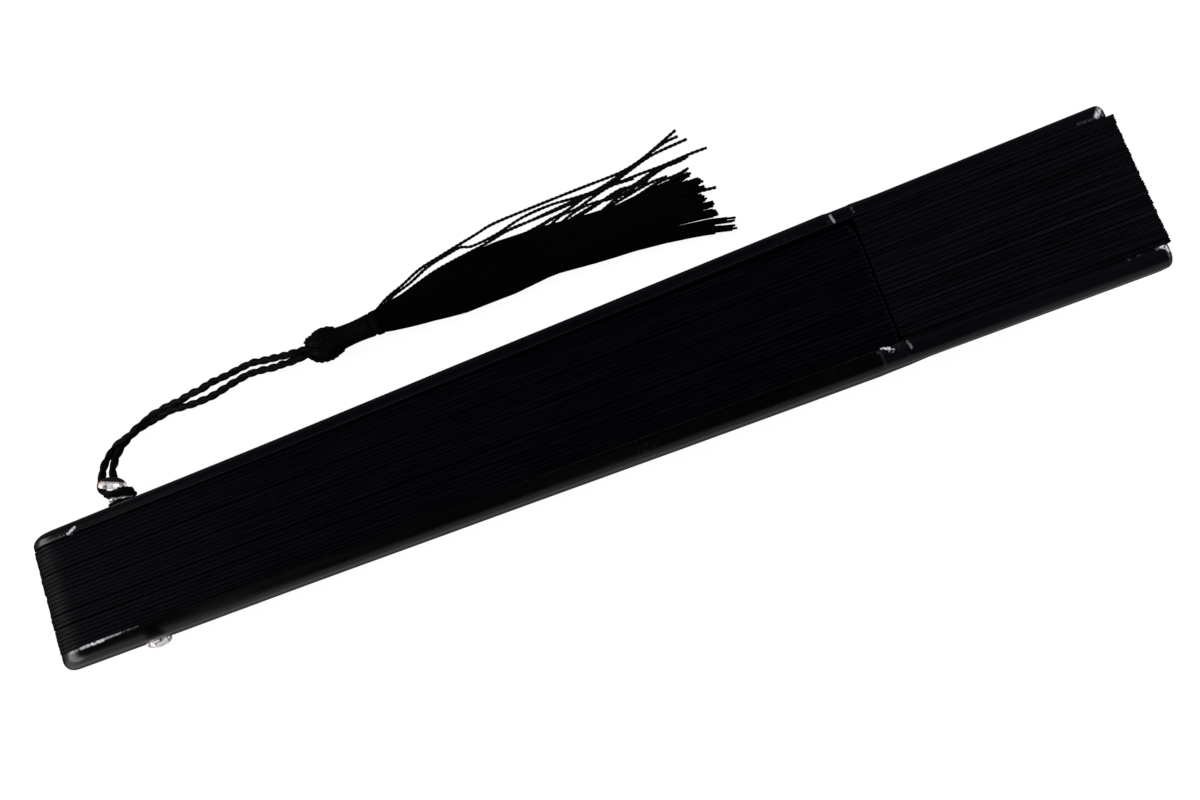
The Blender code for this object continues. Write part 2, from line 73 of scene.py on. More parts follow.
# The stack, in millimetres from the tail, from the stack's middle plane and from the rivet's height
HALF_WIDTH = 9.5
GORGE_FACE = 11.5
GUARD_THICKNESS = 3.1
GUARD_CROWN = 0.9
GUARD_LENGTHS = (230.7, 230.2)
GUARD_END_INNER = 0.35
GUARD_END_OUTER = 2.55
GUARD_END_CROWN = 0.3
WAIST = (181.6, 185.8)
WAIST_FACE = 0.05
WAIST_EDGE = 0.35
TIP_CORNER = 2.2
TAIL_ROUND = 11.0
RIB_HALF_WIDTH = 8.6
RIB_THICKNESS = 0.6
SHOULDER = 185.6
SHOULDER_ROUND = 0.75
SLIP_THICKNESS = 0.25
SLIP_END = 224.0
LEAF_START = 185.8
LEAF_END = 231.2
LEAF_HALF_WIDTH = 8.6
LEAF_TURN = 1.6
STICK_PITCH = (2 * GORGE_FACE - 2 * 0.2 - RIB_THICKNESS) / (len(RIBS) - 1)

# How far the guards have sprung away from the even stack: along, the near one and the far one
SPRING = ((20.0, 0.60, 0.02), (60.0, 0.53, 0.02), (110.0, 0.70, 0.36), (150.0, 0.91, 0.54), (184.0, 0.95, 0.70))
END_SPRING = (1.12, 0.55)
LEAN = (0.71, 0.28)

# The rivet's heads as they sit: the middle of each seat and the way it faces
NEAR_HEAD = (22.4, -14.8, 10.5)
FAR_HEAD = (20.6, 19.6, 10.0)
FAR_HEAD_AXIS = (0.42, 0.907, 0.02)

# Painted glints on the guards' upper edges, where light catches the arrises: from and to, along and aside, half
# width and strength
PAINTED_GLINTS = (
    ((7.6, -12.05), (10.2, -11.95), 0.24, 0.30), ((10.8, -11.9), (13.2, -11.8), 0.30, 0.75),
    ((13.2, -11.8), (16.4, -11.75), 0.36, 1.0), ((16.6, -11.7), (20.6, -11.65), 0.28, 0.45),
    ((20.9, -11.65), (25.0, -11.6), 0.22, 0.14), ((182.0, -11.6), (183.2, -12.1), 0.22, 1.0),
    ((183.2, -12.65), (183.7, -12.6), 0.26, 0.8), ((181.0, -11.8), (181.2, -12.3), 0.18, 0.03),
    ((184.8, -11.9), (185.1, -12.6), 0.60, 0.01), ((186.4, -12.1), (186.7, -13.4), 0.20, 0.2),
    ((228.4, -12.15), (228.9, -12.05), 0.24, 0.12), ((229.2, -12.1), (229.7, -12.3), 0.32, 1.0),
    ((229.7, -12.3), (229.95, -13.0), 0.26, 0.7), ((223.9, -12.1), (223.9, -12.2), 0.25, 0.03),
    ((225.4, -12.1), (225.8, -12.0), 0.20, 0.03), ((9.0, 11.8), (13.6, 11.85), 0.24, 0.07),
    ((14.6, 11.75), (16.6, 12.5), 0.26, 1.0), ((182.3, 13.9), (182.5, 12.5), 0.22, 0.40),
    ((186.1, 13.9), (186.2, 12.8), 0.20, 0.06), ((228.4, 12.4), (229.2, 13.4), 0.36, 0.8),
    ((225.2, 12.3), (227.6, 12.2), 0.20, 0.04),
    ((26.0, -11.62), (110.0, -11.6), 0.16, 0.004), ((110.0, -11.6), (181.0, -11.6), 0.18, 0.007),
)

# The cord's two strands from the hitch over the rivet's head and along the table to the knot
STRANDS = (
    ((24.0, 16.9, 8.2), (23.0, 17.4, 7.5), (21.9, 18.4, 6.9), (20.9, 19.5, 6.6), (20.2, 20.5, 6.4),
     (19.6, 21.5, 6.4), (19.1, 22.4, 6.5), (18.8, 23.3, 6.4), (18.8, 24.1, 6.2), (18.8, 25.0, 5.8),
     (19.1, 26.0, 5.3), (19.3, 27.4, 4.5), (19.7, 28.5, 3.8), (20.3, 29.5, 3.1), (20.8, 30.5, 2.2),
     (21.3, 31.4, 1.3), (22.3, 32.1, 0.9), (23.7, 32.5, 0.9), (25.2, 32.8, 0.9), (27.4, 33.0, 0.9),
     (30.2, 33.3, 0.9), (33.1, 33.7, 0.9), (34.9, 33.5, 0.9), (37.1, 33.3, 0.9), (38.9, 33.1, 0.9),
     (41.1, 33.0, 0.9), (43.8, 33.0, 0.9), (45.7, 33.2, 0.9), (48.0, 33.6, 0.9), (50.0, 33.9, 0.9),
     (52.2, 34.2, 0.9), (54.4, 34.4, 0.95), (56.6, 34.2, 1.1), (59.0, 33.8, 1.4), (61.5, 33.3, 1.8),
     (64.1, 33.0, 2.4), (66.4, 32.6, 3.0), (69.1, 32.4, 3.7), (71.2, 32.3, 3.9)),
    ((19.4, 17.8, 8.7), (18.6, 18.4, 8.5), (17.6, 19.2, 8.3), (16.8, 20.1, 8.1), (16.2, 21.0, 7.9),
     (16.1, 22.0, 7.6), (16.3, 23.1, 7.2), (16.6, 24.2, 6.8), (16.7, 25.5, 6.2), (16.7, 26.3, 5.7),
     (17.0, 27.2, 5.1), (17.4, 28.0, 4.5),
     (17.8, 28.9, 3.9), (18.3, 29.7, 3.3), (19.1, 30.4, 2.9), (20.3, 31.0, 2.6), (21.9, 31.3, 2.6),
     (23.2, 31.8, 2.5), (24.5, 32.3, 2.4), (25.7, 33.0, 1.9), (26.7, 33.7, 1.2), (28.1, 34.4, 0.9),
     (30.7, 34.7, 0.9), (33.5, 35.0, 0.9), (36.3, 35.0, 0.9), (38.2, 35.3, 0.9), (40.2, 35.5, 0.9),
     (42.1, 35.5, 0.9), (43.9, 35.9, 0.9), (45.6, 36.1, 0.9), (47.5, 36.1, 0.9), (49.9, 36.2, 0.9),
     (52.1, 36.4, 0.9), (54.0, 36.5, 0.95), (56.0, 36.5, 1.1), (58.1, 36.1, 1.3), (60.5, 35.6, 1.6),
     (63.0, 35.1, 2.1), (65.5, 34.5, 2.7), (68.1, 34.1, 3.3), (71.2, 33.5, 3.9)),
)

# The tassel's skirt: along, lower edge, upper edge and half its height
SKIRT = (
    (87.9, 30.9, 36.0, 2.55), (90.5, 30.3, 36.5, 2.50), (94.0, 29.6, 37.0, 2.35), (98.2, 29.0, 37.9, 2.20),
    (103.0, 28.3, 38.9, 2.05), (108.1, 27.7, 39.8, 1.90), (118.9, 27.4, 39.8, 1.75), (128.3, 28.2, 39.1, 1.60),
    (137.5, 27.0, 37.9, 1.50), (145.2, 26.2, 37.3, 1.40), (152.6, 25.1, 37.9, 1.25), (161.2, 23.3, 38.1, 1.05),
    (167.6, 21.4, 37.8, 0.90),
)

# Threads that have left the skirt: along, aside and height, each from the whipping to its end
STRAYS = (
    ((88.1, 34.6, 4.2), (91.9, 37.2, 3.2), (96.1, 39.2, 1.8), (100.3, 41.2, 0.8), (105.2, 42.2, 0.4),
     (114.2, 43.5, 0.4), (119.0, 44.2, 0.4), (128.0, 44.1, 0.4), (138.5, 43.8, 0.4), (146.0, 43.3, 0.9),
     (149.0, 43.3, 0.9), (152.0, 43.9, 0.5), (155.8, 45.0, 0.4), (161.9, 47.1, 0.4)),
    ((88.5, 33.9, 4.5), (93.4, 37.0, 3.4), (97.8, 38.7, 2.2), (102.4, 40.9, 1.0), (107.5, 41.9, 0.6),
     (110.6, 42.1, 0.9), (113.2, 41.3, 0.9), (118.9, 41.7, 0.5), (125.4, 42.9, 0.4), (132.1, 42.8, 0.9),
     (138.1, 42.2, 0.5), (142.0, 42.0, 0.4), (147.2, 42.6, 0.9), (150.9, 43.6, 0.4), (158.4, 45.5, 0.4),
     (161.9, 45.7, 0.4)),
    ((89.0, 33.5, 4.7), (95.2, 36.3, 3.4), (100.4, 38.1, 2.4), (106.1, 39.4, 1.8), (115.8, 40.4, 1.2),
     (121.7, 41.5, 0.6), (128.2, 41.5, 0.4), (136.8, 41.3, 0.8), (145.4, 41.6, 0.9), (149.1, 42.7, 0.5),
     (155.4, 44.0, 0.8), (163.4, 44.4, 0.4)),
    ((89.3, 33.1, 4.7), (95.8, 35.4, 3.4), (102.4, 37.3, 2.6), (108.7, 38.0, 2.2), (120.6, 38.7, 1.7),
     (128.9, 39.6, 0.9), (131.5, 40.1, 0.5), (136.8, 39.8, 0.8), (140.0, 40.4, 0.9), (144.8, 41.5, 0.5),
     (151.1, 41.5, 0.4), (157.3, 41.2, 0.4), (163.0, 41.2, 0.4), (166.5, 41.0, 0.4)),
    ((89.4, 32.8, 4.6), (96.9, 34.7, 3.2), (104.4, 36.0, 2.6), (118.8, 37.3, 1.9), (130.0, 37.6, 1.4),
     (134.1, 38.0, 1.1), (142.0, 39.1, 0.9), (149.5, 39.7, 0.6), (154.8, 40.6, 0.9), (160.0, 40.6, 0.6),
     (162.4, 40.9, 0.4)),
    ((126.0, 38.6, 1.5), (131.0, 39.8, 0.8), (135.5, 40.4, 0.8), (139.5, 41.4, 0.8), (143.0, 41.9, 0.8),
     (147.0, 42.2, 0.8)),
    ((131.5, 37.6, 1.4), (137.0, 39.4, 0.9), (141.0, 39.6, 0.6), (144.5, 38.9, 0.9), (149.0, 38.9, 0.9),
     (153.5, 39.9, 0.9), (158.0, 40.8, 0.6)),
    ((142.0, 37.0, 1.5), (146.5, 38.6, 0.8), (150.0, 38.4, 0.8), (153.5, 38.6, 1.2), (157.0, 38.4, 1.3)),
    ((123.3, 36.9, 1.6), (128.1, 37.8, 1.2), (133.2, 39.8, 0.5), (139.0, 41.1, 1.2), (144.4, 41.7, 0.5),
     (147.3, 41.3, 0.9), (150.5, 40.9, 0.9)),
    ((128.7, 36.0, 1.5), (134.4, 37.4, 1.2), (140.9, 38.9, 0.5), (146.6, 39.9, 0.9), (149.6, 39.6, 0.9),
     (155.1, 40.2, 0.5)),
    ((134.7, 35.4, 1.4), (139.6, 36.5, 1.2), (145.4, 37.8, 0.5), (150.8, 38.7, 0.5), (154.5, 40.2, 0.9),
     (156.2, 40.5, 0.9)),
    ((108.8, 39.2, 1.9), (114.4, 40.1, 1.4), (120.4, 41.4, 0.5), (126.1, 41.5, 0.5), (131.8, 41.5, 0.9),
     (137.4, 41.8, 0.5), (140.9, 41.5, 1.2)),
    ((139.0, 35.8, 1.6), (148.0, 35.8, 1.6), (155.0, 36.8, 1.6), (159.9, 37.8, 1.2), (161.6, 38.4, 1.0)),
    ((138.9, 36.7, 1.6), (147.9, 36.7, 1.6), (154.4, 37.8, 1.5), (159.2, 37.9, 1.3), (161.1, 38.2, 1.1)),
    ((140.8, 34.5, 1.6), (152.1, 34.9, 1.6), (159.1, 36.3, 1.4), (161.7, 37.2, 1.2)),
    ((149.4, 33.6, 1.5), (154.8, 33.5, 1.5), (160.1, 33.1, 1.3), (165.4, 32.4, 0.9)),
)

# The camera: its lens in millimetres, its place, and the axis it is turned about with the turn as its length
CAMERA_LENS = 28.817
CAMERA_PLACE = (165.71, -27.98, 191.74)
CAMERA_TURN = (0.110123, 0.215775, -0.351409)

# The soft boxes at both ends of the table: place, size and power
LAMPS = {
    "left_box": ((-1.10, -0.10, 0.40), (1.3, 0.45), 5.5),
    "right_box": ((1.10, 0.0, 0.45), (0.9, 0.45), 4.5),
}

# Where the skirt's threads start, about where most of them end, in how many locks each half of the skirt's
# width gathers, and the angle that spreads threads evenly over a round bundle
SKIRT_START = 88.2
SKIRT_END = 162.9
SKIRT_LOCKS = 4.0
GOLDEN_ANGLE = 2.399963

# The length in metres in which the plies of the knot's cord and of the stray threads make one turn
THREAD_LAY = 0.0021

# How far aside the leaf's last fold reaches, between the last rib and the far guard
LAST_FOLD_DEPTH = 0.34

# A painted shadow in the lacquer above the near head: its middle, and how far from it, in metres, the shadow
# starts to fade and ends
PAINTED_SHADOW = (28.0, -14.2, 17.4)
PAINTED_SHADOW_EDGE = (0.0019, 0.0031)

# The height in metres above which the painted glints are drawn on the edges
GLINTS_ABOVE = 0.014


def place(along, aside, height):
    """A place in the frame from millimetres along the fan, aside from its middle and off the table."""
    return TAIL + Vector((along, aside, height)) * MM


def flat_place(at):
    """A place along and aside, laid down to the table's height."""
    return tuple(place(*at, 0))


def eased(value):
    """A smooth step from 0 to 1."""
    value = min(1.0, max(0.0, value))
    return value * value * (3 - 2 * value)


def wander(*place_in_noise):
    """Smooth noise from -1 to 1, the same on each run."""
    return noise.noise(Vector(place_in_noise))


def between(table, along):
    """A table's values at a distance along, from the rows on either side."""
    for first, second in zip(table, table[1:]):
        if along <= second[0]:
            share = max(0, (along - first[0]) / (second[0] - first[0]))
            return [a + (b - a) * share for a, b in zip(first[1:], second[1:])]
    return table[-1][1:]


def stick_place(number):
    """A stick's distance from the stack's middle plane; the guards are one before and one after the ribs."""
    return (number - (len(RIBS) + 1) / 2) * STICK_PITCH


# Settings that a user can change

def length_setting(name, description, default, least, most):
    """A length in metres."""
    return bpy.props.FloatProperty(name=name, description=description, default=default, min=least, max=most,
                                   subtype="DISTANCE", unit="LENGTH")


def colour_setting(name, description, *default):
    """A linear colour."""
    return bpy.props.FloatVectorProperty(name=name, description=description, default=default, min=0, max=1,
                                         subtype="COLOR", size=3)


class FanShapeSettings(bpy.types.PropertyGroup):
    """Sizes of the dressing"""

    arris: length_setting("Inner arris", "Radius of the guards' edges beside the ribs", 0.0003, 0.0001, 0.0008)
    outer_arris: length_setting("Outer arris", "Radius of the guards' outer edges", 0.0020, 0.0002, 0.0021)
    rib_arris: length_setting("Rib arris", "Width of the ribs' rounded edges", 0.00012, 0.00005, 0.00025)
    play: length_setting("Stack play", "How unevenly the ribs lie", 0.00014, 0, 0.0003)
    cord: length_setting("Cord", "Diameter of one strand of the tassel's cord", 0.0017, 0.0008, 0.002)
    cord_lay: length_setting("Cord lay", "Length in which a strand's plies make one turn", 0.0056, 0.002, 0.01)
    thread: length_setting("Thread", "Diameter of one thread of the skirt", 0.0005, 0.0003, 0.001)
    thread_count: bpy.props.IntProperty(name="Threads", description="Number of threads in the skirt",
                                        default=230, min=60, max=300)


class FanColourSettings(bpy.types.PropertyGroup):
    """Colours of the dressing"""

    lacquer: colour_setting("Lacquer", "Colour of the guards", 0.0027, 0.0026, 0.0046)
    stain: colour_setting("Stain", "Colour of the ribs", 0.0012, 0.0012, 0.0030)
    cloth: colour_setting("Cloth", "Colour of the leaf", 0.0029, 0.0032, 0.0056)
    silk: colour_setting("Silk", "Colour of cord and tassel", 0.0019, 0.0018, 0.0036)
    metal: colour_setting("Metal", "Colour of the rivet", 0.98, 0.62, 0.47)
    table: colour_setting("Table", "Colour of the table", 0.86, 0.86, 0.86)


# Shader helpers; in a keyword, an underscore stands for the blank in an input's name

def give(tree, slot, value):
    """Links a socket to an input or gives it a plain value; a colour of three parts becomes opaque."""
    if isinstance(value, bpy.types.NodeSocket):
        tree.links.new(value, slot)
    elif slot.type == "RGBA" and len(value) == 3:
        slot.default_value = (*value, 1)
    else:
        slot.default_value = value


def node(tree, kind, *in_order, **values):
    """A node with its first inputs given in order, and settings and other inputs by name."""
    made = tree.nodes.new(kind)
    for key, value in values.items():
        label = key.replace("_", " ")
        if label in made.inputs:
            give(tree, made.inputs[label], value)
        else:
            setattr(made, key, value)
    for slot, value in zip(made.inputs, in_order):
        give(tree, slot, value)
    return made


def math_node(tree, operation, *values):
    """A Math node's result."""
    return node(tree, "ShaderNodeMath", *values, operation=operation).outputs[0]


def vector_node(tree, operation, *values):
    """A Vector Math node's result, a vector or a number as the operation gives it."""
    made = node(tree, "ShaderNodeVectorMath", *values, operation=operation)
    return made.outputs["Value" if operation in ("DISTANCE", "DOT_PRODUCT", "LENGTH") else "Vector"]


def ranged(tree, value, low=0.0, high=1.0, start=0.0, end=1.0):
    """A value moved from one range, 0 to 1 if it isn't given, into another."""
    return node(tree, "ShaderNodeMapRange", Value=value, From_Min=start, From_Max=end, To_Min=low,
                To_Max=high).outputs[0]


def clamped(tree, value):
    """A value kept between 0 and 1."""
    return node(tree, "ShaderNodeClamp", Value=value).outputs[0]


def noise_at(tree, where, **values):
    """A noise texture's value."""
    return node(tree, "ShaderNodeTexNoise", Vector=where, **values).outputs[0]


def parts(tree, vector):
    """A vector's X, Y and Z."""
    return node(tree, "ShaderNodeSeparateXYZ", Vector=vector).outputs


def layered(tree, mask, below, above):
    """A colour laid over another one by a mask; each is a socket or a plain colour."""
    mix = node(tree, "ShaderNodeMix", data_type="RGBA")
    for slot, value in ((0, mask), (6, below), (7, above)):
        give(tree, mix.inputs[slot], value)
    return mix.outputs[2]


def bump(tree, height, strength, distance):
    """A Bump node's normal."""
    return node(tree, "ShaderNodeBump", Strength=strength, Distance=distance, Height=height).outputs[0]


def mapped(tree, kind="Object"):
    """A texture coordinate."""
    return node(tree, "ShaderNodeTexCoord").outputs[kind]


def tinted(colour, share):
    """A colour made lighter or darker."""
    return tuple(min(1.0, part * share) for part in colour)


# Shared effects, each a shader node group: the functions give what feeds the group's outputs

def lengthwise_grain(group, enter):
    """Long soft streaks, as of a brush or of split wood: a mask and a height."""
    stretch = node(group, "ShaderNodeCombineXYZ", X=enter["Stretch"], Y=1.0, Z=1.0).outputs[0]
    drawn_out = vector_node(group, "MULTIPLY", enter["Coordinate"], stretch)
    streaks = noise_at(group, drawn_out, Scale=enter["Scale"], Detail=4.0, Roughness=0.6)
    return ranged(group, streaks, start=0.35, end=0.65), streaks


def worn_specks(group, enter):
    """Scattered small worn or dusty specks: a mask."""
    fine = noise_at(group, enter["Coordinate"], Scale=enter["Scale"], Detail=3.0, Roughness=0.7)
    wide_scale = math_node(group, "MULTIPLY", enter["Scale"], 0.09)
    wide = noise_at(group, enter["Coordinate"], Scale=wide_scale, Detail=1.0)
    edge = math_node(group, "SUBTRACT", 0.52, math_node(group, "MULTIPLY", enter["Share"], 0.4))
    over = math_node(group, "SUBTRACT", math_node(group, "MULTIPLY", fine, wide), edge)
    return (clamped(group, math_node(group, "MULTIPLY", over, 18.0)),)


def painted_glint_stroke(group, enter):
    """A painted glint: a stroke between two places on upper edges, as seen from above: a mask."""
    flat = vector_node(group, "MULTIPLY", enter["Coordinate"], (1, 1, 0))
    beside = vector_node(group, "SUBTRACT", flat, enter["From"])
    span = vector_node(group, "SUBTRACT", enter["To"], enter["From"])
    share = math_node(group, "DIVIDE", vector_node(group, "DOT_PRODUCT", beside, span),
                      vector_node(group, "DOT_PRODUCT", span, span))
    reach = node(group, "ShaderNodeVectorMath", operation="SCALE", Vector=span, Scale=clamped(group, share))
    gap = vector_node(group, "LENGTH", vector_node(group, "SUBTRACT", beside, reach.outputs[0]))
    soft = clamped(group, math_node(group, "SUBTRACT", 1.5, math_node(group, "DIVIDE", gap, enter["Half Width"])))
    above = math_node(group, "GREATER_THAN", parts(group, enter["Coordinate"])["Z"], GLINTS_ABOVE)
    return (math_node(group, "MULTIPLY", math_node(group, "MULTIPLY", soft, above), enter["Strength"]),)


def twisted_lay(group, enter):
    """The slanting lay of twisted yarn along a tube's own map: a height, and a shade that is low in the grooves
    between plies.
    """
    split = parts(group, enter["Coordinate"])
    around = math_node(group, "MULTIPLY", split["X"], enter["Plies"])
    along = math_node(group, "MULTIPLY", split["Y"], enter["Turns"])
    turn = math_node(group, "MULTIPLY", math_node(group, "ADD", around, along), 2 * math.pi)
    wave = math_node(group, "MULTIPLY_ADD", math_node(group, "SINE", turn), 0.5, 0.5)
    return math_node(group, "POWER", wave, 0.6), wave


def plain_weave(group, enter):
    """A plain weave in the fold's plane: a height and a shade."""
    split = parts(group, enter["Coordinate"])
    warp, weft = (math_node(group, "SINE", math_node(group, "MULTIPLY", split[axis], enter["Threads"]))
                  for axis in "XZ")
    height = math_node(group, "MULTIPLY_ADD", math_node(group, "MULTIPLY", warp, weft), 0.5, 0.5)
    return height, noise_at(group, enter["Coordinate"], Scale=900.0, Detail=2.0)


# Each group's function, outputs and inputs beside the coordinate; an input without a number is a vector
EFFECTS = {
    "Lengthwise grain": (lengthwise_grain, ("Mask", "Height"), {"Scale": 900.0, "Stretch": 0.04}),
    "Worn specks": (worn_specks, ("Mask",), {"Scale": 700.0, "Share": 0.3}),
    "Painted glint stroke": (painted_glint_stroke, ("Mask",), {"From": None, "To": None, "Half Width": 0.0002, "Strength": 1.0}),
    "Twisted lay": (twisted_lay, ("Height", "Shade"), {"Turns": 60.0, "Plies": 3.0}),
    "Plain weave": (plain_weave, ("Height", "Shade"), {"Threads": 4200.0}),
}


def effect(tree, name, coordinate, **values):
    """A shared effect's outputs in a material; its node group is made the first time."""
    group = bpy.data.node_groups.get(name)
    if group is None:
        fill, outputs, inputs = EFFECTS[name]
        group = bpy.data.node_groups.new(name, "ShaderNodeTree")
        for label, default in {"Coordinate": None, **inputs}.items():
            kind = "NodeSocketVector" if default is None else "NodeSocketFloat"
            socket = group.interface.new_socket(label, in_out="INPUT", socket_type=kind)
            if default is not None:
                socket.default_value = default
        for label in outputs:
            group.interface.new_socket(label, in_out="OUTPUT", socket_type="NodeSocketFloat")
        node(group, "NodeGroupOutput", *fill(group, node(group, "NodeGroupInput").outputs))
    return node(tree, "ShaderNodeGroup", node_tree=group, Coordinate=coordinate, **values).outputs


# Materials: each function gives what feeds the inputs of its Principled shader

def material(name, fill, *details):
    """The material of a name, made the first time with what fill gives."""
    made = bpy.data.materials.get(name)
    if made is None:
        made = bpy.data.materials.new(name)
        made.use_nodes = True
        shader = made.node_tree.nodes["Principled BSDF"]
        for label, value in fill(made.node_tree, *details).items():
            give(made.node_tree, shader.inputs[label], value)
    return made


def lacquer(tree):
    """Black brushed lacquer with a soft gloss, faint streaks and a few worn specks; with painted light: lighter and
    darker tones of the same lacquer by how light falls, glints painted on the edges, and a painted shadow above the
    rivet's near head."""
    colour = bpy.context.scene.fan_colours.lacquer
    where = mapped(tree)
    streaks = effect(tree, "Lengthwise grain", where, Scale=700.0, Stretch=0.05)
    split = parts(tree, where)
    # Painted light: the far guard and the guards past the waist get a lighter tone of the lacquer, the near guard's
    # gorge a darker one, as light falls on them
    painted_lit_part = math_node(tree, "MAXIMUM", math_node(tree, "GREATER_THAN", split["Y"], PIVOT.y),
                             math_node(tree, "GREATER_THAN", split["X"], place(WAIST[0], 0, 0).x))
    painted_dark_tone, plain = (layered(tree, streaks["Mask"], tinted(colour, dark), tinted(colour, light))
                   for dark, light in ((0.1, 0.3), (0.7, 1.3)))
    base = layered(tree, painted_lit_part, painted_dark_tone, plain)
    specks = effect(tree, "Worn specks", where, Scale=900.0, Share=0.36)["Mask"]
    worn = layered(tree, specks, base, (0.006, 0.0055, 0.007))
    painted_glints_mask = 0.0
    # Painted glints: near-white strokes where light catches the guards' edges
    for start, end, half_width, strength in PAINTED_GLINTS:
        stroke = effect(tree, "Painted glint stroke", where, From=flat_place(start), To=flat_place(end),
                        Half_Width=half_width * MM, Strength=strength)
        painted_glints_mask = math_node(tree, "MAXIMUM", painted_glints_mask, stroke["Mask"])
    glint_gaps = ranged(tree, noise_at(tree, where, Scale=1900.0, Detail=2.0), start=0.36, end=0.50)
    with_painted_glints = layered(tree, math_node(tree, "MULTIPLY", painted_glints_mask, glint_gaps), worn, (0.9, 0.9, 0.95))
    # Painted shadow above the near head: a dark base colour, fully metallic inside, fading out at its edge
    from_painted_shadow = vector_node(tree, "DISTANCE", where, tuple(place(*PAINTED_SHADOW)))
    outside = ranged(tree, from_painted_shadow, start=PAINTED_SHADOW_EDGE[0], end=PAINTED_SHADOW_EDGE[1])
    return {
        "Specular IOR Level": 0.3,
        "Base Color": layered(tree, outside, tinted(colour, 0.1), with_painted_glints),
        "Metallic": ranged(tree, outside, 1.0, 0.0),
        "Roughness": ranged(tree, streaks["Mask"], 0.20, 0.32),
        "Normal": bump(tree, streaks["Height"], 0.25, 0.00012),
    }


def stain(tree):
    """Black-stained bamboo: fine lengthwise fibres, nearly matt, with small dusty specks."""
    colour = bpy.context.scene.fan_colours.stain
    where = mapped(tree)
    fibres = effect(tree, "Lengthwise grain", where, Scale=2600.0, Stretch=0.03)
    specks = effect(tree, "Worn specks", where, Scale=1500.0, Share=0.30)["Mask"]
    base = layered(tree, fibres["Mask"], tinted(colour, 0.6), tinted(colour, 1.9))
    return {
        "Specular IOR Level": 0.04,
        "Base Color": layered(tree, specks, base, (0.0035, 0.003, 0.0045)),
        "Roughness": ranged(tree, fibres["Mask"], 0.38, 0.58),
        "Normal": bump(tree, fibres["Height"], 0.5, 0.00012),
    }


def cloth(tree):
    """Fine black cloth, matt, with its weave and uneven dye."""
    colour = bpy.context.scene.fan_colours.cloth
    where = mapped(tree)
    weave = effect(tree, "Plain weave", where, Threads=16000.0)
    dye = effect(tree, "Lengthwise grain", where, Scale=1800.0, Stretch=0.05)["Mask"]
    return {
        "Specular IOR Level": 0.08,
        "Base Color": layered(tree, dye, tinted(colour, 0.55), tinted(colour, 1.8)),
        "Roughness": ranged(tree, weave["Shade"], 0.6, 0.85),
        "Normal": bump(tree, weave["Height"], 0.35, 0.00006),
    }


def silk(tree, turns, plies_seen, share=1.0):
    """Twisted black silk: the lay runs round each thread, its grooves painted darker as shade. A share below 1
    makes it darker.
    """
    colour = bpy.context.scene.fan_colours.silk
    lay = effect(tree, "Twisted lay", mapped(tree, "UV"), Turns=turns, Plies=plies_seen)
    # Painted shade: the base colour is darker in the lay's grooves and lighter on the plies' crests
    return {
        "Specular IOR Level": 0.1 * share,
        "Base Color": layered(tree, lay["Shade"], tinted(colour, 0.4 * share), tinted(colour, 1.8 * share)),
        "Roughness": ranged(tree, lay["Shade"], 0.62, 0.42),
        "Normal": bump(tree, lay["Height"], 0.8, 0.00008),
    }


def metal(tree):
    """Rivet metal with painted reflections: rosy towards the tail and silver past it, with dark veins standing for
    mirrored dark surroundings, glowing painted highlights in patches, and dark on the far head's top."""
    colour = bpy.context.scene.fan_colours.metal
    where = mapped(tree)
    dents = noise_at(tree, where, Scale=1100.0, Detail=2.0)
    patches = noise_at(tree, where, Scale=430.0, Detail=1.0, Distortion=0.8)
    # Painted reflections: thin dark veins in the colour stand in for dark things mirrored in the metal
    from_painted_vein = math_node(tree, "ABSOLUTE", math_node(tree, "SUBTRACT", patches, 0.5))
    off_painted_veins = ranged(tree, from_painted_vein, start=0.012, end=0.05)
    # Painted reflection: the metal is tinted rosy towards the tail and silver past it, as mirrored surroundings
    # colour it
    past_painted_rosy = ranged(tree, parts(tree, where)["X"], start=place(19.5, 0, 0).x, end=place(20.3, 0, 0).x)
    painted_tint = layered(tree, past_painted_rosy, tinted(colour, 0.75), (0.90, 0.85, 0.88))
    painted_veins_laid = layered(tree, off_painted_veins, (0.045, 0.028, 0.024), painted_tint)
    from_seat = vector_node(tree, "SUBTRACT", where, tuple(place(*FAR_HEAD)))
    rise = vector_node(tree, "DOT_PRODUCT", from_seat, FAR_HEAD_AXIS)
    under_top = ranged(tree, rise, start=0.0017, end=0.0011)
    base = layered(tree, under_top, (0.012, 0.008, 0.010), painted_veins_laid)
    # Painted highlights: the base colour glows in patches, though the rivet is no lamp
    painted_glow = ranged(tree, patches, 0.08, 0.55, start=0.42, end=0.62)
    return {
        "Metallic": 0.6,
        "Base Color": base,
        "Emission Color": layered(tree, painted_glow, (0.0, 0.0, 0.0), base),
        "Emission Strength": 1.0,
        "Roughness": ranged(tree, dents, 0.16, 0.34),
        "Normal": bump(tree, dents, 0.5, 0.0004),
    }


def silk_of(name, turns, plies_seen, share=1.0):
    """The silk of one kind of thread."""
    return material(name, silk, turns, plies_seen, share)


# Mesh helpers

def linked(name, data):
    """A new object in the scene."""
    made = bpy.data.objects.new(name, data)
    bpy.context.scene.collection.objects.link(made)
    return made


def new_piece(name, form, paint, body, stands_for, smooth_angle=None):
    """Puts a mesh or a bmesh into the scene as one piece in place of one of the part's nodes; it rides on a body
    if one is given."""
    mesh = mesh_of(form, name) if isinstance(form, bmesh.types.BMesh) else form
    piece = linked(name, mesh)
    mesh.materials.clear()
    mesh.materials.append(paint)
    mesh.shade_smooth()
    if smooth_angle:
        mesh.set_sharp_from_angle(angle=math.radians(smooth_angle))
    if body:
        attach(piece, body)
    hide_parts(stands_for)
    return piece


def reworked(mesh, change):
    """Changes a mesh as a bmesh."""
    shape = bmesh.new()
    shape.from_mesh(mesh)
    change(shape)
    shape.to_mesh(mesh)
    shape.free()
    return mesh


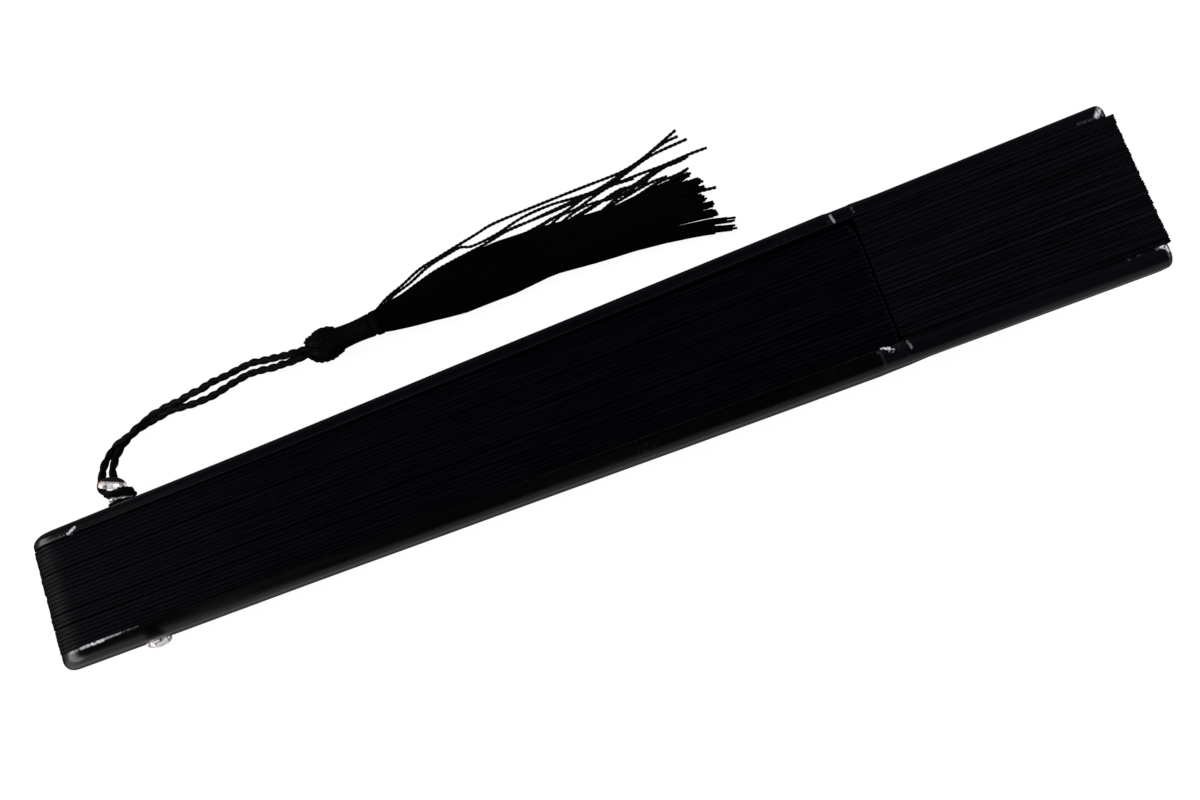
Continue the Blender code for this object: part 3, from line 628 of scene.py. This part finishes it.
def mesh_of(shape, name):
    """A mesh from a bmesh, with its faces turned out."""
    bmesh.ops.recalc_face_normals(shape, faces=shape.faces)
    mesh = bpy.data.meshes.new(name)
    shape.to_mesh(mesh)
    shape.free()
    return mesh


def cut_across(shape, axis, places):
    """Cuts a bmesh's faces by planes square to an axis."""
    normal = Vector((0, 0, 0))
    normal[axis] = 1
    for value in places:
        at = Vector((0, 0, 0))
        at[axis] = value
        bmesh.ops.bisect_plane(shape, geom=shape.verts[:] + shape.edges[:] + shape.faces[:], dist=1e-7,
                               plane_co=at, plane_no=normal)


def plate(outline, thickness):
    """A bmesh plate from an outline in along and up, its far side at the thickness."""
    shape = bmesh.new()
    face = shape.faces.new([shape.verts.new((x, 0, z)) for x, z in outline])
    grown = bmesh.ops.extrude_face_region(shape, geom=[face])
    moved = [item for item in grown["geom"] if isinstance(item, bmesh.types.BMVert)]
    bmesh.ops.translate(shape, verts=moved, vec=(0, thickness, 0))
    return shape


def round_edges(shape, width, segments):
    """Rounds a bmesh's edges that are sharper than 35 degrees."""
    bmesh.ops.recalc_face_normals(shape, faces=shape.faces)
    sharp = [edge for edge in shape.edges if edge.is_manifold and edge.calc_face_angle() > math.radians(35)]
    bmesh.ops.bevel(shape, geom=sharp, offset=width, offset_type="OFFSET", segments=segments, profile=0.5,
                    affect="EDGES", clamp_overlap=True, material=-1)


def arc(centre, radii, start, end, steps):
    """Points along an elliptical arc, both ends among them; the angles are in degrees."""
    turns = [math.radians(start + (end - start) * i / steps) for i in range(steps + 1)]
    return [(centre[0] + radii[0] * math.cos(turn), centre[1] + radii[1] * math.sin(turn)) for turn in turns]


def along_edge(start, end, height, step):
    """Points along a straight edge of an outline, the ends left out."""
    count = max(1, round(abs(end - start) / step))
    return [(start + (end - start) * i / count, height) for i in range(1, count)]


def smooth_line(points, step):
    """A Catmull-Rom curve through points, walked in steps of about one length."""
    path = [points[0] * 2 - points[1], *points, points[-1] * 2 - points[-2]]
    fine = []
    for before, first, second, after in zip(path, path[1:], path[2:], path[3:]):
        for i in range(24):
            t = i / 24
            fine.append((first * 2 + (second - before) * t
                         + (before * 2 - first * 5 + second * 4 - after) * t ** 2
                         + (first * 3 - before - second * 3 + after) * t ** 3) / 2)
    fine.append(points[-1].copy())
    length = sum((b - a).length for a, b in zip(fine, fine[1:]))
    count = max(2, round(length / step))
    line, gone, target = [fine[0]], 0.0, length / count
    for a, b in zip(fine, fine[1:]):
        span = (b - a).length
        while span > 0 and gone + span >= target - 1e-12 and len(line) < count:
            line.append(a.lerp(b, (target - gone) / span))
            target += length / count
        gone += span
    line.append(fine[-1])
    return line, length


def plies(line, radius, lay, count=2, phase=0.0):
    """The middle lines of the plies that twist round a line."""
    side = (line[1] - line[0]).orthogonal().normalized()
    strands = [[] for _ in range(count)]
    gone = 0.0
    for i, point in enumerate(line):
        ahead = (line[min(i + 1, len(line) - 1)] - line[max(i - 1, 0)]).normalized()
        side = (side - ahead * side.dot(ahead)).normalized()
        other = ahead.cross(side)
        if i:
            gone += (point - line[i - 1]).length
        for k in range(count):
            turn = phase + 2 * math.pi * (gone / lay + k / count)
            strands[k].append(point + (side * math.cos(turn) + other * math.sin(turn)) * radius)
    return strands


def tubes(name, lines, radius):
    """One mesh of round tubes along lines, each with its own map along and around it."""
    curve = bpy.data.curves.new(name, "CURVE")
    curve.dimensions = "3D"
    curve.bevel_depth = radius
    curve.bevel_resolution = 1
    curve.use_fill_caps = True
    for line in lines:
        spline = curve.splines.new("POLY")
        spline.points.add(len(line) - 1)
        for point, at in zip(spline.points, line):
            point.co = (*at, 1)
    form = linked(name, curve)
    graph = bpy.context.evaluated_depsgraph_get()
    mesh = bpy.data.meshes.new_from_object(form.evaluated_get(graph))
    mesh.name = name
    bpy.data.objects.remove(form)
    return reworked(mesh, lambda shape: bmesh.ops.remove_doubles(shape, verts=shape.verts, dist=1e-7))


# The pieces

def guard_outline(length):
    """A guard's outline: round tail, straight sides and rounded tip corners."""
    half, corner = HALF_WIDTH, TIP_CORNER
    upper = arc((length - corner, half - corner), (corner, corner), 90, 0, 10)
    return arc((TAIL_ROUND, 0), (TAIL_ROUND, half), 270, 90, 48) + upper + [(x, -z) for x, z in reversed(upper)]


def round_face(shape, face, radius, side):
    """Rounds a plate's face towards its outline by insets along a quarter circle."""
    steps = 4 if radius < 1 else 9
    for i in range(steps):
        turn, after = (math.pi / 2 * k / steps for k in (i, i + 1))
        bmesh.ops.inset_region(shape, faces=[face], thickness=radius * (math.cos(turn) - math.cos(after)),
                               depth=0, use_boundary=True, use_even_offset=True)
        bmesh.ops.translate(shape, verts=face.verts, vec=(0, side * radius * (math.sin(after) - math.sin(turn)), 0))


def build_guard(name, side, body):
    """A guard: crowned outside with a wide rounded arris, a shallow waist and a thinner end that leans out."""
    settings = bpy.context.scene.fan_shape
    half = HALF_WIDTH
    low, high = WAIST
    which = 0 if side < 0 else 1
    inner, outer = settings.arris / MM, settings.outer_arris / MM
    shape = plate(guard_outline(GUARD_LENGTHS[which]), GUARD_THICKNESS - inner - outer)
    bmesh.ops.translate(shape, verts=shape.verts, vec=(0, inner, 0))
    faces = sorted((face for face in shape.faces if len(face.verts) > 8),
                   key=lambda face: face.calc_center_median().y)
    round_face(shape, faces[0], inner, -1)
    round_face(shape, faces[1], outer, 1)
    cut_across(shape, 2, [half * share for share in (-0.7, -0.44, -0.22, 0, 0.22, 0.44, 0.7)])
    cut_across(shape, 0, [edge + step for edge in WAIST for step in (-0.5, -0.2, 0.2, 0.5)]
               + [0.8, 2.0, 4.0, 6.5, 9.0] + [12.0 * i for i in range(1, 15)] + [high + 2 * i for i in range(1, 4)]
               + [high + 10 * i for i in range(1, 5)])
    for vert in shape.verts:
        x, y, z = vert.co
        share = y / GUARD_THICKNESS
        rise = z / half
        sprung = between(SPRING, x)[which]
        past_waist = eased((x - low - 1.2) / 8.5)
        crown = GUARD_THICKNESS - GUARD_CROWN * rise ** 2 + sprung
        end = GUARD_END_OUTER + END_SPRING[which] - GUARD_END_CROWN * rise ** 2
        waist = eased((x - low + 0.5) / 1.0) * (1 - eased((x - high + 0.5) / 1.0))
        face = crown + (end - crown) * past_waist + LEAN[which] * rise - WAIST_FACE * waist
        from_tip = GUARD_LENGTHS[which] - x
        x += from_tip * 0.55 * max(0.0, 1 - from_tip / (3 * outer))
        back = (sprung if which else 0.0) * (1 - past_waist) + GUARD_END_INNER * past_waist
        narrowed = 0.75 * (1 - eased(x / 7)) * share * which
        y = back + (face - back) * share - narrowed + 0.03 * share * wander(x * 0.05, z * 0.2, side * 7.0)
        vert.co = place(x, side * (GORGE_FACE + y), half + z * (1 - WAIST_EDGE / half * waist))
    piece = new_piece(f"dressed_{name}", shape, material("fan_lacquer", lacquer), body, name)
    even = piece.modifiers.new("even_normals", "WEIGHTED_NORMAL")
    even.weight = 60


def rib_shift(number):
    """Where a rib lies beside its even place, so that the stack shows a few wider gaps."""
    share = number / (len(RIBS) + 1)
    gaps = (0.25, 0.37, 0.54, 0.73)
    drift = sum((1 if share > gap else -1) * 0.10 * math.exp(-abs(share - gap) * 16) for gap in gaps)
    return drift + 0.03 * wander(number * 0.6, 3.1, 0)


def build_rib(number, name):
    """A rib: a thin stained stick with round shoulders, a narrow slip and its own slight unevenness."""
    settings = bpy.context.scene.fan_shape
    chance = random.Random(number * 17)
    play = settings.play / MM
    top = RIB_HALF_WIDTH + play * chance.uniform(-0.9, 0.9)
    low = -RIB_HALF_WIDTH + play * chance.uniform(-0.5, 0.5)
    tail = chance.uniform(-0.75, -0.6)
    shoulder = SHOULDER + chance.uniform(-0.15, 0.0)
    radius = SHOULDER_ROUND * chance.uniform(0.8, 1.15) * (1 + max(0, number - len(RIBS) + 2))
    middle = (top + low) / 2
    outline = arc((tail + TAIL_ROUND, middle), (TAIL_ROUND, (top - low) / 2), 270, 90, 28)
    outline += along_edge(tail + TAIL_ROUND, shoulder - radius, top, 6.0)
    outline += arc((shoulder - radius, top - radius), (radius, radius), 90, 0, 6)
    outline += arc((shoulder - radius, low + radius), (radius, radius), 0, -90, 6)
    outline += along_edge(shoulder - radius, tail + TAIL_ROUND, low, 6.0)
    thickness = RIB_THICKNESS * chance.uniform(1.14, 1.42)
    shape = plate(outline, thickness)
    bmesh.ops.translate(shape, verts=shape.verts, vec=(0, -thickness / 2, 0))
    cut_across(shape, 0, [12.0 + 8.0 * i for i in range(22)])
    round_edges(shape, settings.rib_arris / MM, 2)
    for vert in shape.verts:
        x, y, z = vert.co
        lift = play * 0.45 * wander(x * 0.045, number * 2.3, 5.0) + play * 0.22 * wander(x * 0.4, number * 3.1, 9.0)
        vert.co.z += lift * (z / RIB_HALF_WIDTH)
    slip = plate([(shoulder - 3, -4.5), *arc((SLIP_END - 2.5, 0), (2.5, 2.5), -90, 90, 8), (shoulder - 3, 4.5)],
                 SLIP_THICKNESS)
    bmesh.ops.translate(slip, verts=slip.verts, vec=(0, -SLIP_THICKNESS / 2, 0))
    slip_mesh = bpy.data.meshes.new("slip")
    slip.to_mesh(slip_mesh)
    slip.free()
    shape.from_mesh(slip_mesh)
    bpy.data.meshes.remove(slip_mesh)
    aside = stick_place(number) + rib_shift(number)
    for vert in shape.verts:
        x, y, z = vert.co
        bow = 0.09 * wander(x * 0.02, number * 0.3, 1.0) * eased(x / 60)
        settle = 1 - eased((x - SHOULDER + 12) / 12)
        vert.co = place(x, stick_place(number) + (aside - stick_place(number) + bow) * settle + y, HALF_WIDTH + z)
    new_piece(f"dressed_{name}", shape, material("fan_stain", stain), name, name, 40)


def inverse_ease(value):
    """The number whose smooth step is the value."""
    return 0.5 - math.sin(math.asin(1 - 2 * min(1.0, max(0.0, value))) / 3)


def build_pleat(number, body):
    """One pleat as it rides on its stick: a glued wall, the crest and the wall behind it."""
    chance = random.Random(number * 29 + 5)
    half = LEAF_HALF_WIDTH
    if number > len(RIBS):
        base = GORGE_FACE + GUARD_END_INNER - 0.29
        brim = 0.26
        section = [(0, -half), (0, half - 0.15), (0.06, half), (0.2, half), (0.26, half - 0.15), (0.26, -half)]
    else:
        base = stick_place(number) + SLIP_THICKNESS / 2 + 0.01
        brim = 0.82 - 0.12 * chance.random() ** 2
        section = [(0.0, -half), (0.0, half - 0.35), (0.05, half - 0.1), (0.16, half), (0.28, half - 0.03),
                   (0.38, half - 0.22), (0.48, half - 0.05), (0.6, half), (brim - 0.08, half - 0.08),
                   (brim, half - 0.4), (brim, half - 3.2), (0.6, half - 4.0), (0.58, LEAF_TURN - 0.2),
                   (0.46, LEAF_TURN - 0.2), (0.4, 0.0), (0.38, half - 1.4), (0.33, half - 1.2),
                   (0.27, half - 1.4), (0.26, -half + 0.1), (0.21, -half)]
    start = LEAF_START + chance.uniform(0, 0.12)
    end = LEAF_END + chance.uniform(-0.16, 0.0)
    first_top, second_top = (0.16 * chance.uniform(-1.3, 0.8) for _ in range(2))
    crease = chance.uniform(-0.07, 0.07)
    columns = 26
    shape = bmesh.new()
    rings = []
    for i in range(columns + 1):
        x = start + (end - start) * i / columns
        at_tip = eased((x - SLIP_END - 1) / 3)
        ring = []
        for y, z in section:
            rise = eased((z + half) / (2 * half))
            closed = 0.87 - brim if y > 0.7 else 0.0
            first = eased((0.36 + crease - y) / 0.1)
            top = first_top * first + second_top * (1 - first)
            top += 0.05 * wander(x * 0.13, number * 2.7 + first, 8.0)
            top += 0.03 * wander(x * 0.7, number * 3.3 + first, 1.0)
            side = 0.04 * rise * wander(x * 0.09, number * 1.1, 2.0) + (crease * rise if 0.2 < y < 0.5 else 0)
            ring.append(shape.verts.new(place(x + 0.05 * wander(z * 0.3, number, 5.0),
                                              base + y + side * (1 - at_tip) + closed * at_tip,
                                              HALF_WIDTH + z + top * rise * rise)))
        rings.append(ring)
    for ring, after in zip(rings, rings[1:]):
        for k in range(len(section)):
            following = (k + 1) % len(section)
            shape.faces.new((ring[k], ring[following], after[following], after[k]))
    shape.faces.new(rings[0])
    shape.faces.new(rings[-1])
    new_piece(f"leaf_pleat_{number:02d}", shape, material("fan_cloth", cloth), body, "leaf", 60)


def build_free_fold(number):
    """The part of the leaf between two sticks: it runs from one pleat to the next stick's lower fold."""
    chance = random.Random(number * 31 + 9)
    columns, rows = 22, 8
    held = 0.58  # the share of the fold that stays with the first stick
    top_place = stick_place(number) + SLIP_THICKNESS / 2 + 0.53
    low_place = stick_place(number + 1) + 0.12
    if number == len(RIBS):
        low_place = GORGE_FACE + GUARD_END_INNER - 0.2
        top_place = low_place - LAST_FOLD_DEPTH
    share = inverse_ease(number / (number + 1))
    first = (top_place - share * low_place) / (1 - share)
    top, low = LEAF_TURN, -LEAF_HALF_WIDTH
    start = LEAF_START + 0.2
    end = LEAF_END - chance.uniform(0.25, 0.4)
    shape = bmesh.new()
    bmesh.ops.create_grid(shape, x_segments=columns, y_segments=rows, size=0.5)
    for vert in shape.verts:
        along, down = vert.co.x + 0.5, 0.5 - vert.co.y
        x = start + (end - start) * along
        moved = max(0.0, (down - held) / (1 - held))
        y = first + (low_place - first) * inverse_ease((number + moved) / (number + 1))
        z = top + (low - top) * down + 0.06 * wander(x * 0.12, number * 2.1, 3.0) * down * (1 - down)
        vert.co = place(x, y, HALF_WIDTH + z)
    piece = new_piece(f"leaf_free_{number:02d}", shape, material("fan_cloth", cloth), None, "leaf", 50)
    # Given the other way round, the last fold left a gap at the far guard at 180 degrees
    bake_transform(piece)
    wall = piece.modifiers.new("cloth", "SOLIDIFY")
    wall.thickness = 0.2 * MM
    wall.offset = 0


def turned(profile, centre, axis, segments=48):
    """A bmesh turned about an axis from a profile of distances along it and radii."""
    shape = bmesh.new()
    verts = [shape.verts.new((radius, 0, along)) for along, radius in profile]
    edges = [shape.edges.new(pair) for pair in zip(verts, verts[1:])]
    bmesh.ops.spin(shape, geom=verts + edges, cent=(0, 0, 0), axis=(0, 0, 1), angle=2 * math.pi, steps=segments,
                   use_merge=True)
    bmesh.ops.remove_doubles(shape, verts=shape.verts, dist=1e-4)
    turn = Vector(axis).to_track_quat("Z", "Y").to_matrix()
    for vert in shape.verts:
        x, y, z = turn @ vert.co
        vert.co = place(centre[0] + x, centre[1] + y, centre[2] + z)
    return shape


def dome(radius, rim, height, steps=10):
    """A head's profile: a flat seat, a rounded rim and a dome."""
    profile = [(0.0, 0.0), (0.0, radius - 0.12), (0.05, radius - 0.03), (0.12, radius), (rim, radius)]
    for i in range(1, steps + 1):
        turn = math.pi / 2 * i / steps
        profile.append((rim + (height - rim) * math.sin(turn), radius * math.cos(turn)))
    return profile


def build_rivet():
    """The rivet's metal: a pin with its near head, a collared washer and a far head that sits askew."""
    pin = [(-31.0, 0.0), (-31.0, 1.2), (-30.8, 1.25), (0.0, 1.25), *dome(2.6, 0.6, 1.9)[1:]]
    collar = [(0.02, 1.34), (0.0, 1.4), (0.0, 2.9), (0.08, 3.0), (0.5, 3.0), (0.6, 2.9), (0.64, 1.4), (1.86, 1.38),
              (1.9, 2.3), (2.0, 2.42), (2.5, 2.42), (2.6, 2.3), (2.6, 1.4), (2.56, 1.34)]
    for node_name, name, profile, centre, axis in (
            ("rivet_cap", "worn_far_head", dome(2.9, 0.55, 2.5), FAR_HEAD, FAR_HEAD_AXIS),
            ("rivet_washer", "collared_washer", collar, (21.6, 14.62, HALF_WIDTH), (0, 1, 0)),
            ("rivet_pin", "headed_pin", pin, NEAR_HEAD, (0, -1, 0.03))):
        new_piece(name, turned(profile, centre, axis), material("fan_metal", metal), "base", node_name,
                  50)


def hitch_line():
    """The cord round the rivet's neck: a tight turn on each side of the collar and a loose one at the head."""
    points = []
    for i in range(67):
        turn = i / 24 - 1
        angle = math.radians(270 - 360 * turn)
        across = math.cos(angle)
        past_collar = eased((turn + 0.12) / 0.24)
        outward = eased((turn - 0.9) / 0.3)
        radius = 1.9 + 0.2 * past_collar + 0.6 * outward + 0.4 * math.sin(math.pi * past_collar)
        y = 15.7 + 2.3 * past_collar - (0.10 + 0.65 * across) * outward
        points.append(place(21.6 + 0.3 * past_collar + 0.15 * outward + radius * across, y,
                            HALF_WIDTH + radius * math.sin(angle)))
    return points


def build_cord():
    """The twisted cord: its hitch on the rivet's neck and its two strands to the knot."""
    settings = bpy.context.scene.fan_shape
    ply, ply_radius = settings.cord * 0.15, settings.cord * 0.38
    path, _ = smooth_line(hitch_line(), 0.0003)
    mesh = tubes("twisted_hitch", plies(path, ply, settings.cord_lay), ply_radius)
    hitch = new_piece("twisted_hitch", mesh, silk_of("silk_hitch", 60, 3), "tassel", "cord_hitch")
    strands = []
    for number, route in enumerate(STRANDS, 1):
        path, length = smooth_line([place(*point) for point in route], 0.00025)
        name = f"twisted_strand_{number}"
        mesh = tubes(name, plies(path, ply, settings.cord_lay, phase=number * 1.3), ply_radius)
        strand = new_piece(name, mesh, silk_of("silk_strand", 130, 3), "tassel", f"cord_strand_{number}")
        strands.append((strand, path, length))
    return hitch, strands


def build_knot():
    """The woven ball: one cord that runs three times round over a core, doubled beside itself."""
    low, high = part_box("tassel_knot")
    centre = (low + high) / 2
    size = (high - low) / 2
    cord = 0.00052
    lines = []
    for offset in (-0.12, 0.12):
        line = []
        steps = 360
        for i in range(steps + 1):
            turn = 2 * math.pi * i / steps
            around = 3 * turn + offset * 0.4
            tilt = math.radians(58) * math.cos(7 * turn) + offset * 1.1
            height = 1 + 0.085 * math.sin(14 * turn)
            line.append(centre + Vector((math.sin(tilt) * (size.x - cord) * height,
                                         math.cos(tilt) * math.cos(around) * (size.y - cord) * height,
                                         math.cos(tilt) * math.sin(around) * (size.z - cord) * height)))
        lines += plies(line, cord * 0.5, THREAD_LAY)
    core = Matrix.Translation(centre) @ Matrix.Diagonal((*(size * 0.86), 1))
    mesh = reworked(tubes("woven_knot", lines, cord * 0.56), lambda shape: bmesh.ops.create_uvsphere(
        shape, u_segments=24, v_segments=16, radius=1, matrix=core))
    return new_piece("woven_knot", mesh, silk_of("silk_knot", 420, 3), "tassel", "tassel_knot")


def winding(start, end, radius_of, pitch, thread):
    """A thread wound round a line in even turns."""
    turns = (end - start).length / pitch
    steps = int(turns * 20)
    points = []
    for i in range(steps + 1):
        share = i / steps
        middle = start.lerp(end, share)
        turn = 2 * math.pi * turns * share
        radius = radius_of(share) - thread / 2
        points.append(middle + Vector((0, math.cos(turn), math.sin(turn))) * radius)
    return points


def build_neck():
    """The bound neck and the whipping under it: wound thread over a core."""
    pieces = []
    for node_name, name, pitch, thread, waist in (("tassel_head", "bound_neck", 0.00040, 0.00042, 0.08),
                                                  ("tassel_binding", "whipping", 0.00042, 0.00044, 0.0)):
        low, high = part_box(node_name)
        radius = (high.y - low.y) / 2 * (0.93 if waist == 0 else 1)
        middle_y = (low.y + high.y) / 2
        start = Vector((low.x + thread / 2, middle_y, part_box("tassel_knot")[1].z / 2 + 0.00005))
        end = Vector((high.x - thread / 2, middle_y, (low.z + high.z) / 2))
        if name == "bound_neck":
            start.x -= 1.6 * MM
            end.z = (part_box("tassel_binding")[0].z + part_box("tassel_binding")[1].z) / 2
        else:
            start.z = end.z
        line = winding(start, end, lambda share: radius * (1 - waist * math.sin(math.pi * share)), pitch, thread)
        along = end - start
        core = Matrix.Translation((start + end) / 2) @ along.to_track_quat("Z", "Y").to_matrix().to_4x4()
        mesh = reworked(tubes(name, [line], thread / 2), lambda shape: bmesh.ops.create_cone(
            shape, cap_ends=True, segments=24, radius1=radius * 0.88, radius2=radius * 0.88, depth=along.length,
            matrix=core))
        pieces.append(new_piece(name, mesh, silk_of("silk_winding", 900, 2), "tassel", node_name, 60))
    return pieces


def build_skirt():
    """The skirt of twisted threads, gathered at the whipping and loose at its ragged ends."""
    settings = bpy.context.scene.fan_shape
    chance = random.Random(41)
    radius = settings.thread / 2
    lines = []
    count = settings.thread_count
    for i in range(count):
        spread = math.sqrt((i + 0.5) / count)
        turn = i * GOLDEN_ANGLE
        u, w = spread * math.cos(turn), spread * math.sin(turn)
        lock = (math.floor(u * SKIRT_LOCKS) + 0.5) / SKIRT_LOCKS
        end = SKIRT_END + 1.5 * wander(lock * 9.1, 0.5, 0.5) + chance.uniform(-1.6, 0.9)
        end += (3.6 * chance.random() ** 2 if u < -0.5 else 0) - 1.6 * eased((u - 0.3) * 2)
        phase = chance.uniform(0, 100)
        line = []
        steps = 30
        for k in range(steps + 1):
            share = k / steps
            x = SKIRT_START + (end - SKIRT_START) * share
            low, high, half = between(SKIRT, x)
            gather = 0.45 * eased((share - 0.45) / 0.55)
            aside = u + (lock - u) * gather * 0.8
            stray = 0.10 + 0.42 * share
            y = (low + high) / 2 + aside * ((high - low) / 2 - radius / MM)
            y += stray * wander(share * 3.0, phase, 1.0) + 0.10 * wander(share * 14, phase, 4.0)
            z = half + w * (half - radius / MM) + 0.12
            z += 0.35 * wander(share * 3.5, phase, 9.0) * (1 - abs(w)) * share
            z = max(z, radius / MM + 0.05)
            line.append(place(x, y, z))
        lines.append(line)
    stray_lines = []
    for number, points in enumerate(STRAYS):
        path, _ = smooth_line([place(*point) for point in points], 0.0003)
        stray_lines += plies(path, radius * 0.45, THREAD_LAY, phase=number)
    for name, middles, paint in (("thread_skirt", lines, silk_of("silk_thread", 90, 2, 0.4)),
                                 ("stray_threads", stray_lines, silk_of("silk_stray", 160, 2))):
        new_piece(name, tubes(name, middles, radius), paint, "tassel", "tassel_skirt")


# The stage

def build_stage():
    """The camera, the table, the lamps and the world."""
    scene = bpy.context.scene
    camera_data = bpy.data.cameras.new("camera")
    camera_data.lens = CAMERA_LENS
    camera_data.sensor_width = 36
    camera_data.clip_start = 0.01
    camera = linked("camera", camera_data)
    turn = Vector(CAMERA_TURN)
    camera.matrix_world = (Matrix.Translation(place(*CAMERA_PLACE))
                           @ Matrix.Rotation(turn.length, 4, turn.normalized()))
    scene.camera = camera

    floor_mesh = reworked(bpy.data.meshes.new("table_top"), lambda shape: bmesh.ops.create_grid(
        shape, x_segments=1, y_segments=1, size=3))
    floor_mesh.materials.append(table())
    linked("table_top", floor_mesh)

    for name, (where, size, power) in LAMPS.items():
        lamp_data = bpy.data.lights.new(name, "AREA")
        lamp_data.shape = "RECTANGLE"
        lamp_data.size, lamp_data.size_y = size
        lamp_data.energy = power
        lamp = linked(name, lamp_data)
        lamp.location = where
        lamp.rotation_euler = (Vector((0, 0, 0.01)) - Vector(where)).to_track_quat("-Z", "Y").to_euler()

    world = bpy.data.worlds.new("soft_room")
    scene.world = world
    world.use_nodes = True
    tree = world.node_tree
    tree.nodes.clear()
    path = node(tree, "ShaderNodeLightPath").outputs
    direction = parts(tree, mapped(tree, "Generated"))
    ceiling = ranged(tree, direction["Z"], 0.6, 0.02, start=0.25, end=0.62)
    behind = ranged(tree, direction["Y"], 1.0, 0.06, start=-0.1, end=0.35)
    mirrored = math_node(tree, "MULTIPLY", path["Is Glossy Ray"], math_node(tree, "MULTIPLY", ceiling, behind))
    seen = math_node(tree, "MAXIMUM", path["Is Camera Ray"], path["Is Transmission Ray"])
    plain = math_node(tree, "MULTIPLY", math_node(tree, "SUBTRACT", 1.0, path["Is Glossy Ray"]), 0.55)
    strength = math_node(tree, "MAXIMUM", math_node(tree, "MAXIMUM", seen, mirrored), plain)
    room = node(tree, "ShaderNodeBackground", Color=(1, 1, 1), Strength=strength)
    node(tree, "ShaderNodeOutputWorld", Surface=room.outputs[0])
    scene.view_settings.view_transform = "Standard"


def table():
    """A white table that keeps a faint shadow; in the fan's reflections it has painted shade, darker close beside
    the fan and darker on the far side.
    """
    colour = bpy.context.scene.fan_colours.table
    made = bpy.data.materials.new("white_table")
    made.use_nodes = True
    tree = made.node_tree
    tree.nodes.clear()
    path = node(tree, "ShaderNodeLightPath").outputs
    matt = node(tree, "ShaderNodeBsdfDiffuse", Color=tuple(colour)).outputs[0]
    faint = node(tree, "ShaderNodeBsdfDiffuse", Color=tinted(colour, 0.18)).outputs[0]
    glow = node(tree, "ShaderNodeEmission", Strength=0.93).outputs[0]
    seen = node(tree, "ShaderNodeAddShader", faint, glow).outputs[0]
    # Painted shade in the mirrored table: its glow seen in reflections fades close beside the fan and is low on the
    # far side
    aside = parts(tree, mapped(tree))["Y"]
    offset = math_node(tree, "ABSOLUTE", math_node(tree, "SUBTRACT", aside, PIVOT.y))
    fade = ranged(tree, offset, 0.04, 0.5, start=0.0175, end=0.030)
    near_side = math_node(tree, "LESS_THAN", aside, PIVOT.y)
    painted_mirror_shade = math_node(tree, "MULTIPLY", fade, math_node(tree, "MULTIPLY_ADD", near_side, 0.88, 0.12))
    mirrored = node(tree, "ShaderNodeEmission", Strength=painted_mirror_shade).outputs[0]
    by_gloss = node(tree, "ShaderNodeMixShader", path["Is Glossy Ray"], matt, mirrored).outputs[0]
    looked_at = math_node(tree, "MAXIMUM", path["Is Camera Ray"], path["Is Transmission Ray"])
    mix = node(tree, "ShaderNodeMixShader", looked_at, by_gloss, seen).outputs[0]
    node(tree, "ShaderNodeOutputMaterial", Surface=mix)
    return made


# Operators, panel and registration

class FAN_OT_stage(bpy.types.Operator):
    """Make the camera, the table, the lamps and the world"""

    bl_idname = "fan.stage"
    bl_label = "Stage"

    def execute(self, context):
        build_stage()
        return {"FINISHED"}


class FAN_OT_tassel(bpy.types.Operator):
    """Make the cord, the knot, the bound neck and the skirt"""

    bl_idname = "fan.tassel"
    bl_label = "Cord and tassel"

    def execute(self, context):
        hitch, strands = build_cord()
        knot = build_knot()
        neck, whipping = build_neck()
        build_skirt()
        return {"FINISHED"}


class FAN_OT_guards(bpy.types.Operator):
    """Make the two lacquered guards"""

    bl_idname = "fan.guards"
    bl_label = "Guards"

    def execute(self, context):
        build_guard("guard_near", -1, "base")
        build_guard("guard_far", 1, "far_guard")
        return {"FINISHED"}


class FAN_OT_ribs(bpy.types.Operator):
    """Make the stained ribs"""

    bl_idname = "fan.ribs"
    bl_label = "Ribs"

    def execute(self, context):
        for number, name in enumerate(RIBS, 1):
            build_rib(number, name)
        return {"FINISHED"}


class FAN_OT_leaf(bpy.types.Operator):
    """Make the leaf's folds"""

    bl_idname = "fan.leaf"
    bl_label = "Leaf"

    def execute(self, context):
        sticks = ["base", *RIBS, "far_guard"]
        for number, body in enumerate(sticks):
            build_pleat(number, body)
        for number, body in enumerate(sticks[1:]):
            build_free_fold(number)
        return {"FINISHED"}


class FAN_OT_rivet(bpy.types.Operator):
    """Make the rivet's pin, washer and far head"""

    bl_idname = "fan.rivet"
    bl_label = "Rivet"

    def execute(self, context):
        build_rivet()
        return {"FINISHED"}


OPERATORS = (FAN_OT_stage, FAN_OT_tassel, FAN_OT_guards, FAN_OT_ribs, FAN_OT_leaf, FAN_OT_rivet)


class FAN_PT_dressing(bpy.types.Panel):
    """The fan's dressing, piece by piece"""

    bl_idname = "FAN_PT_dressing"
    bl_label = "Folding fan"
    bl_space_type = "VIEW_3D"
    bl_region_type = "UI"
    bl_category = "Fan"

    def draw(self, context):
        for settings in (context.scene.fan_shape, context.scene.fan_colours):
            for key in settings.__annotations__:
                self.layout.prop(settings, key)
        for operator in OPERATORS:
            self.layout.operator(operator.bl_idname)


CLASSES = (FanShapeSettings, FanColourSettings, *OPERATORS, FAN_PT_dressing)


def register():
    for item in CLASSES:
        bpy.utils.register_class(item)
    bpy.types.Scene.fan_shape = bpy.props.PointerProperty(type=FanShapeSettings)
    bpy.types.Scene.fan_colours = bpy.props.PointerProperty(type=FanColourSettings)


def unregister():
    del bpy.types.Scene.fan_colours
    del bpy.types.Scene.fan_shape
    for item in reversed(CLASSES):
        bpy.utils.unregister_class(item)


def main():
    """Dresses the fan."""
    register()
    for operator in OPERATORS:
        group, name = operator.bl_idname.split(".")
        getattr(getattr(bpy.ops, group), name)()
    bpy.context.view_layer.update()


if __name__ == "__main__":
    main()
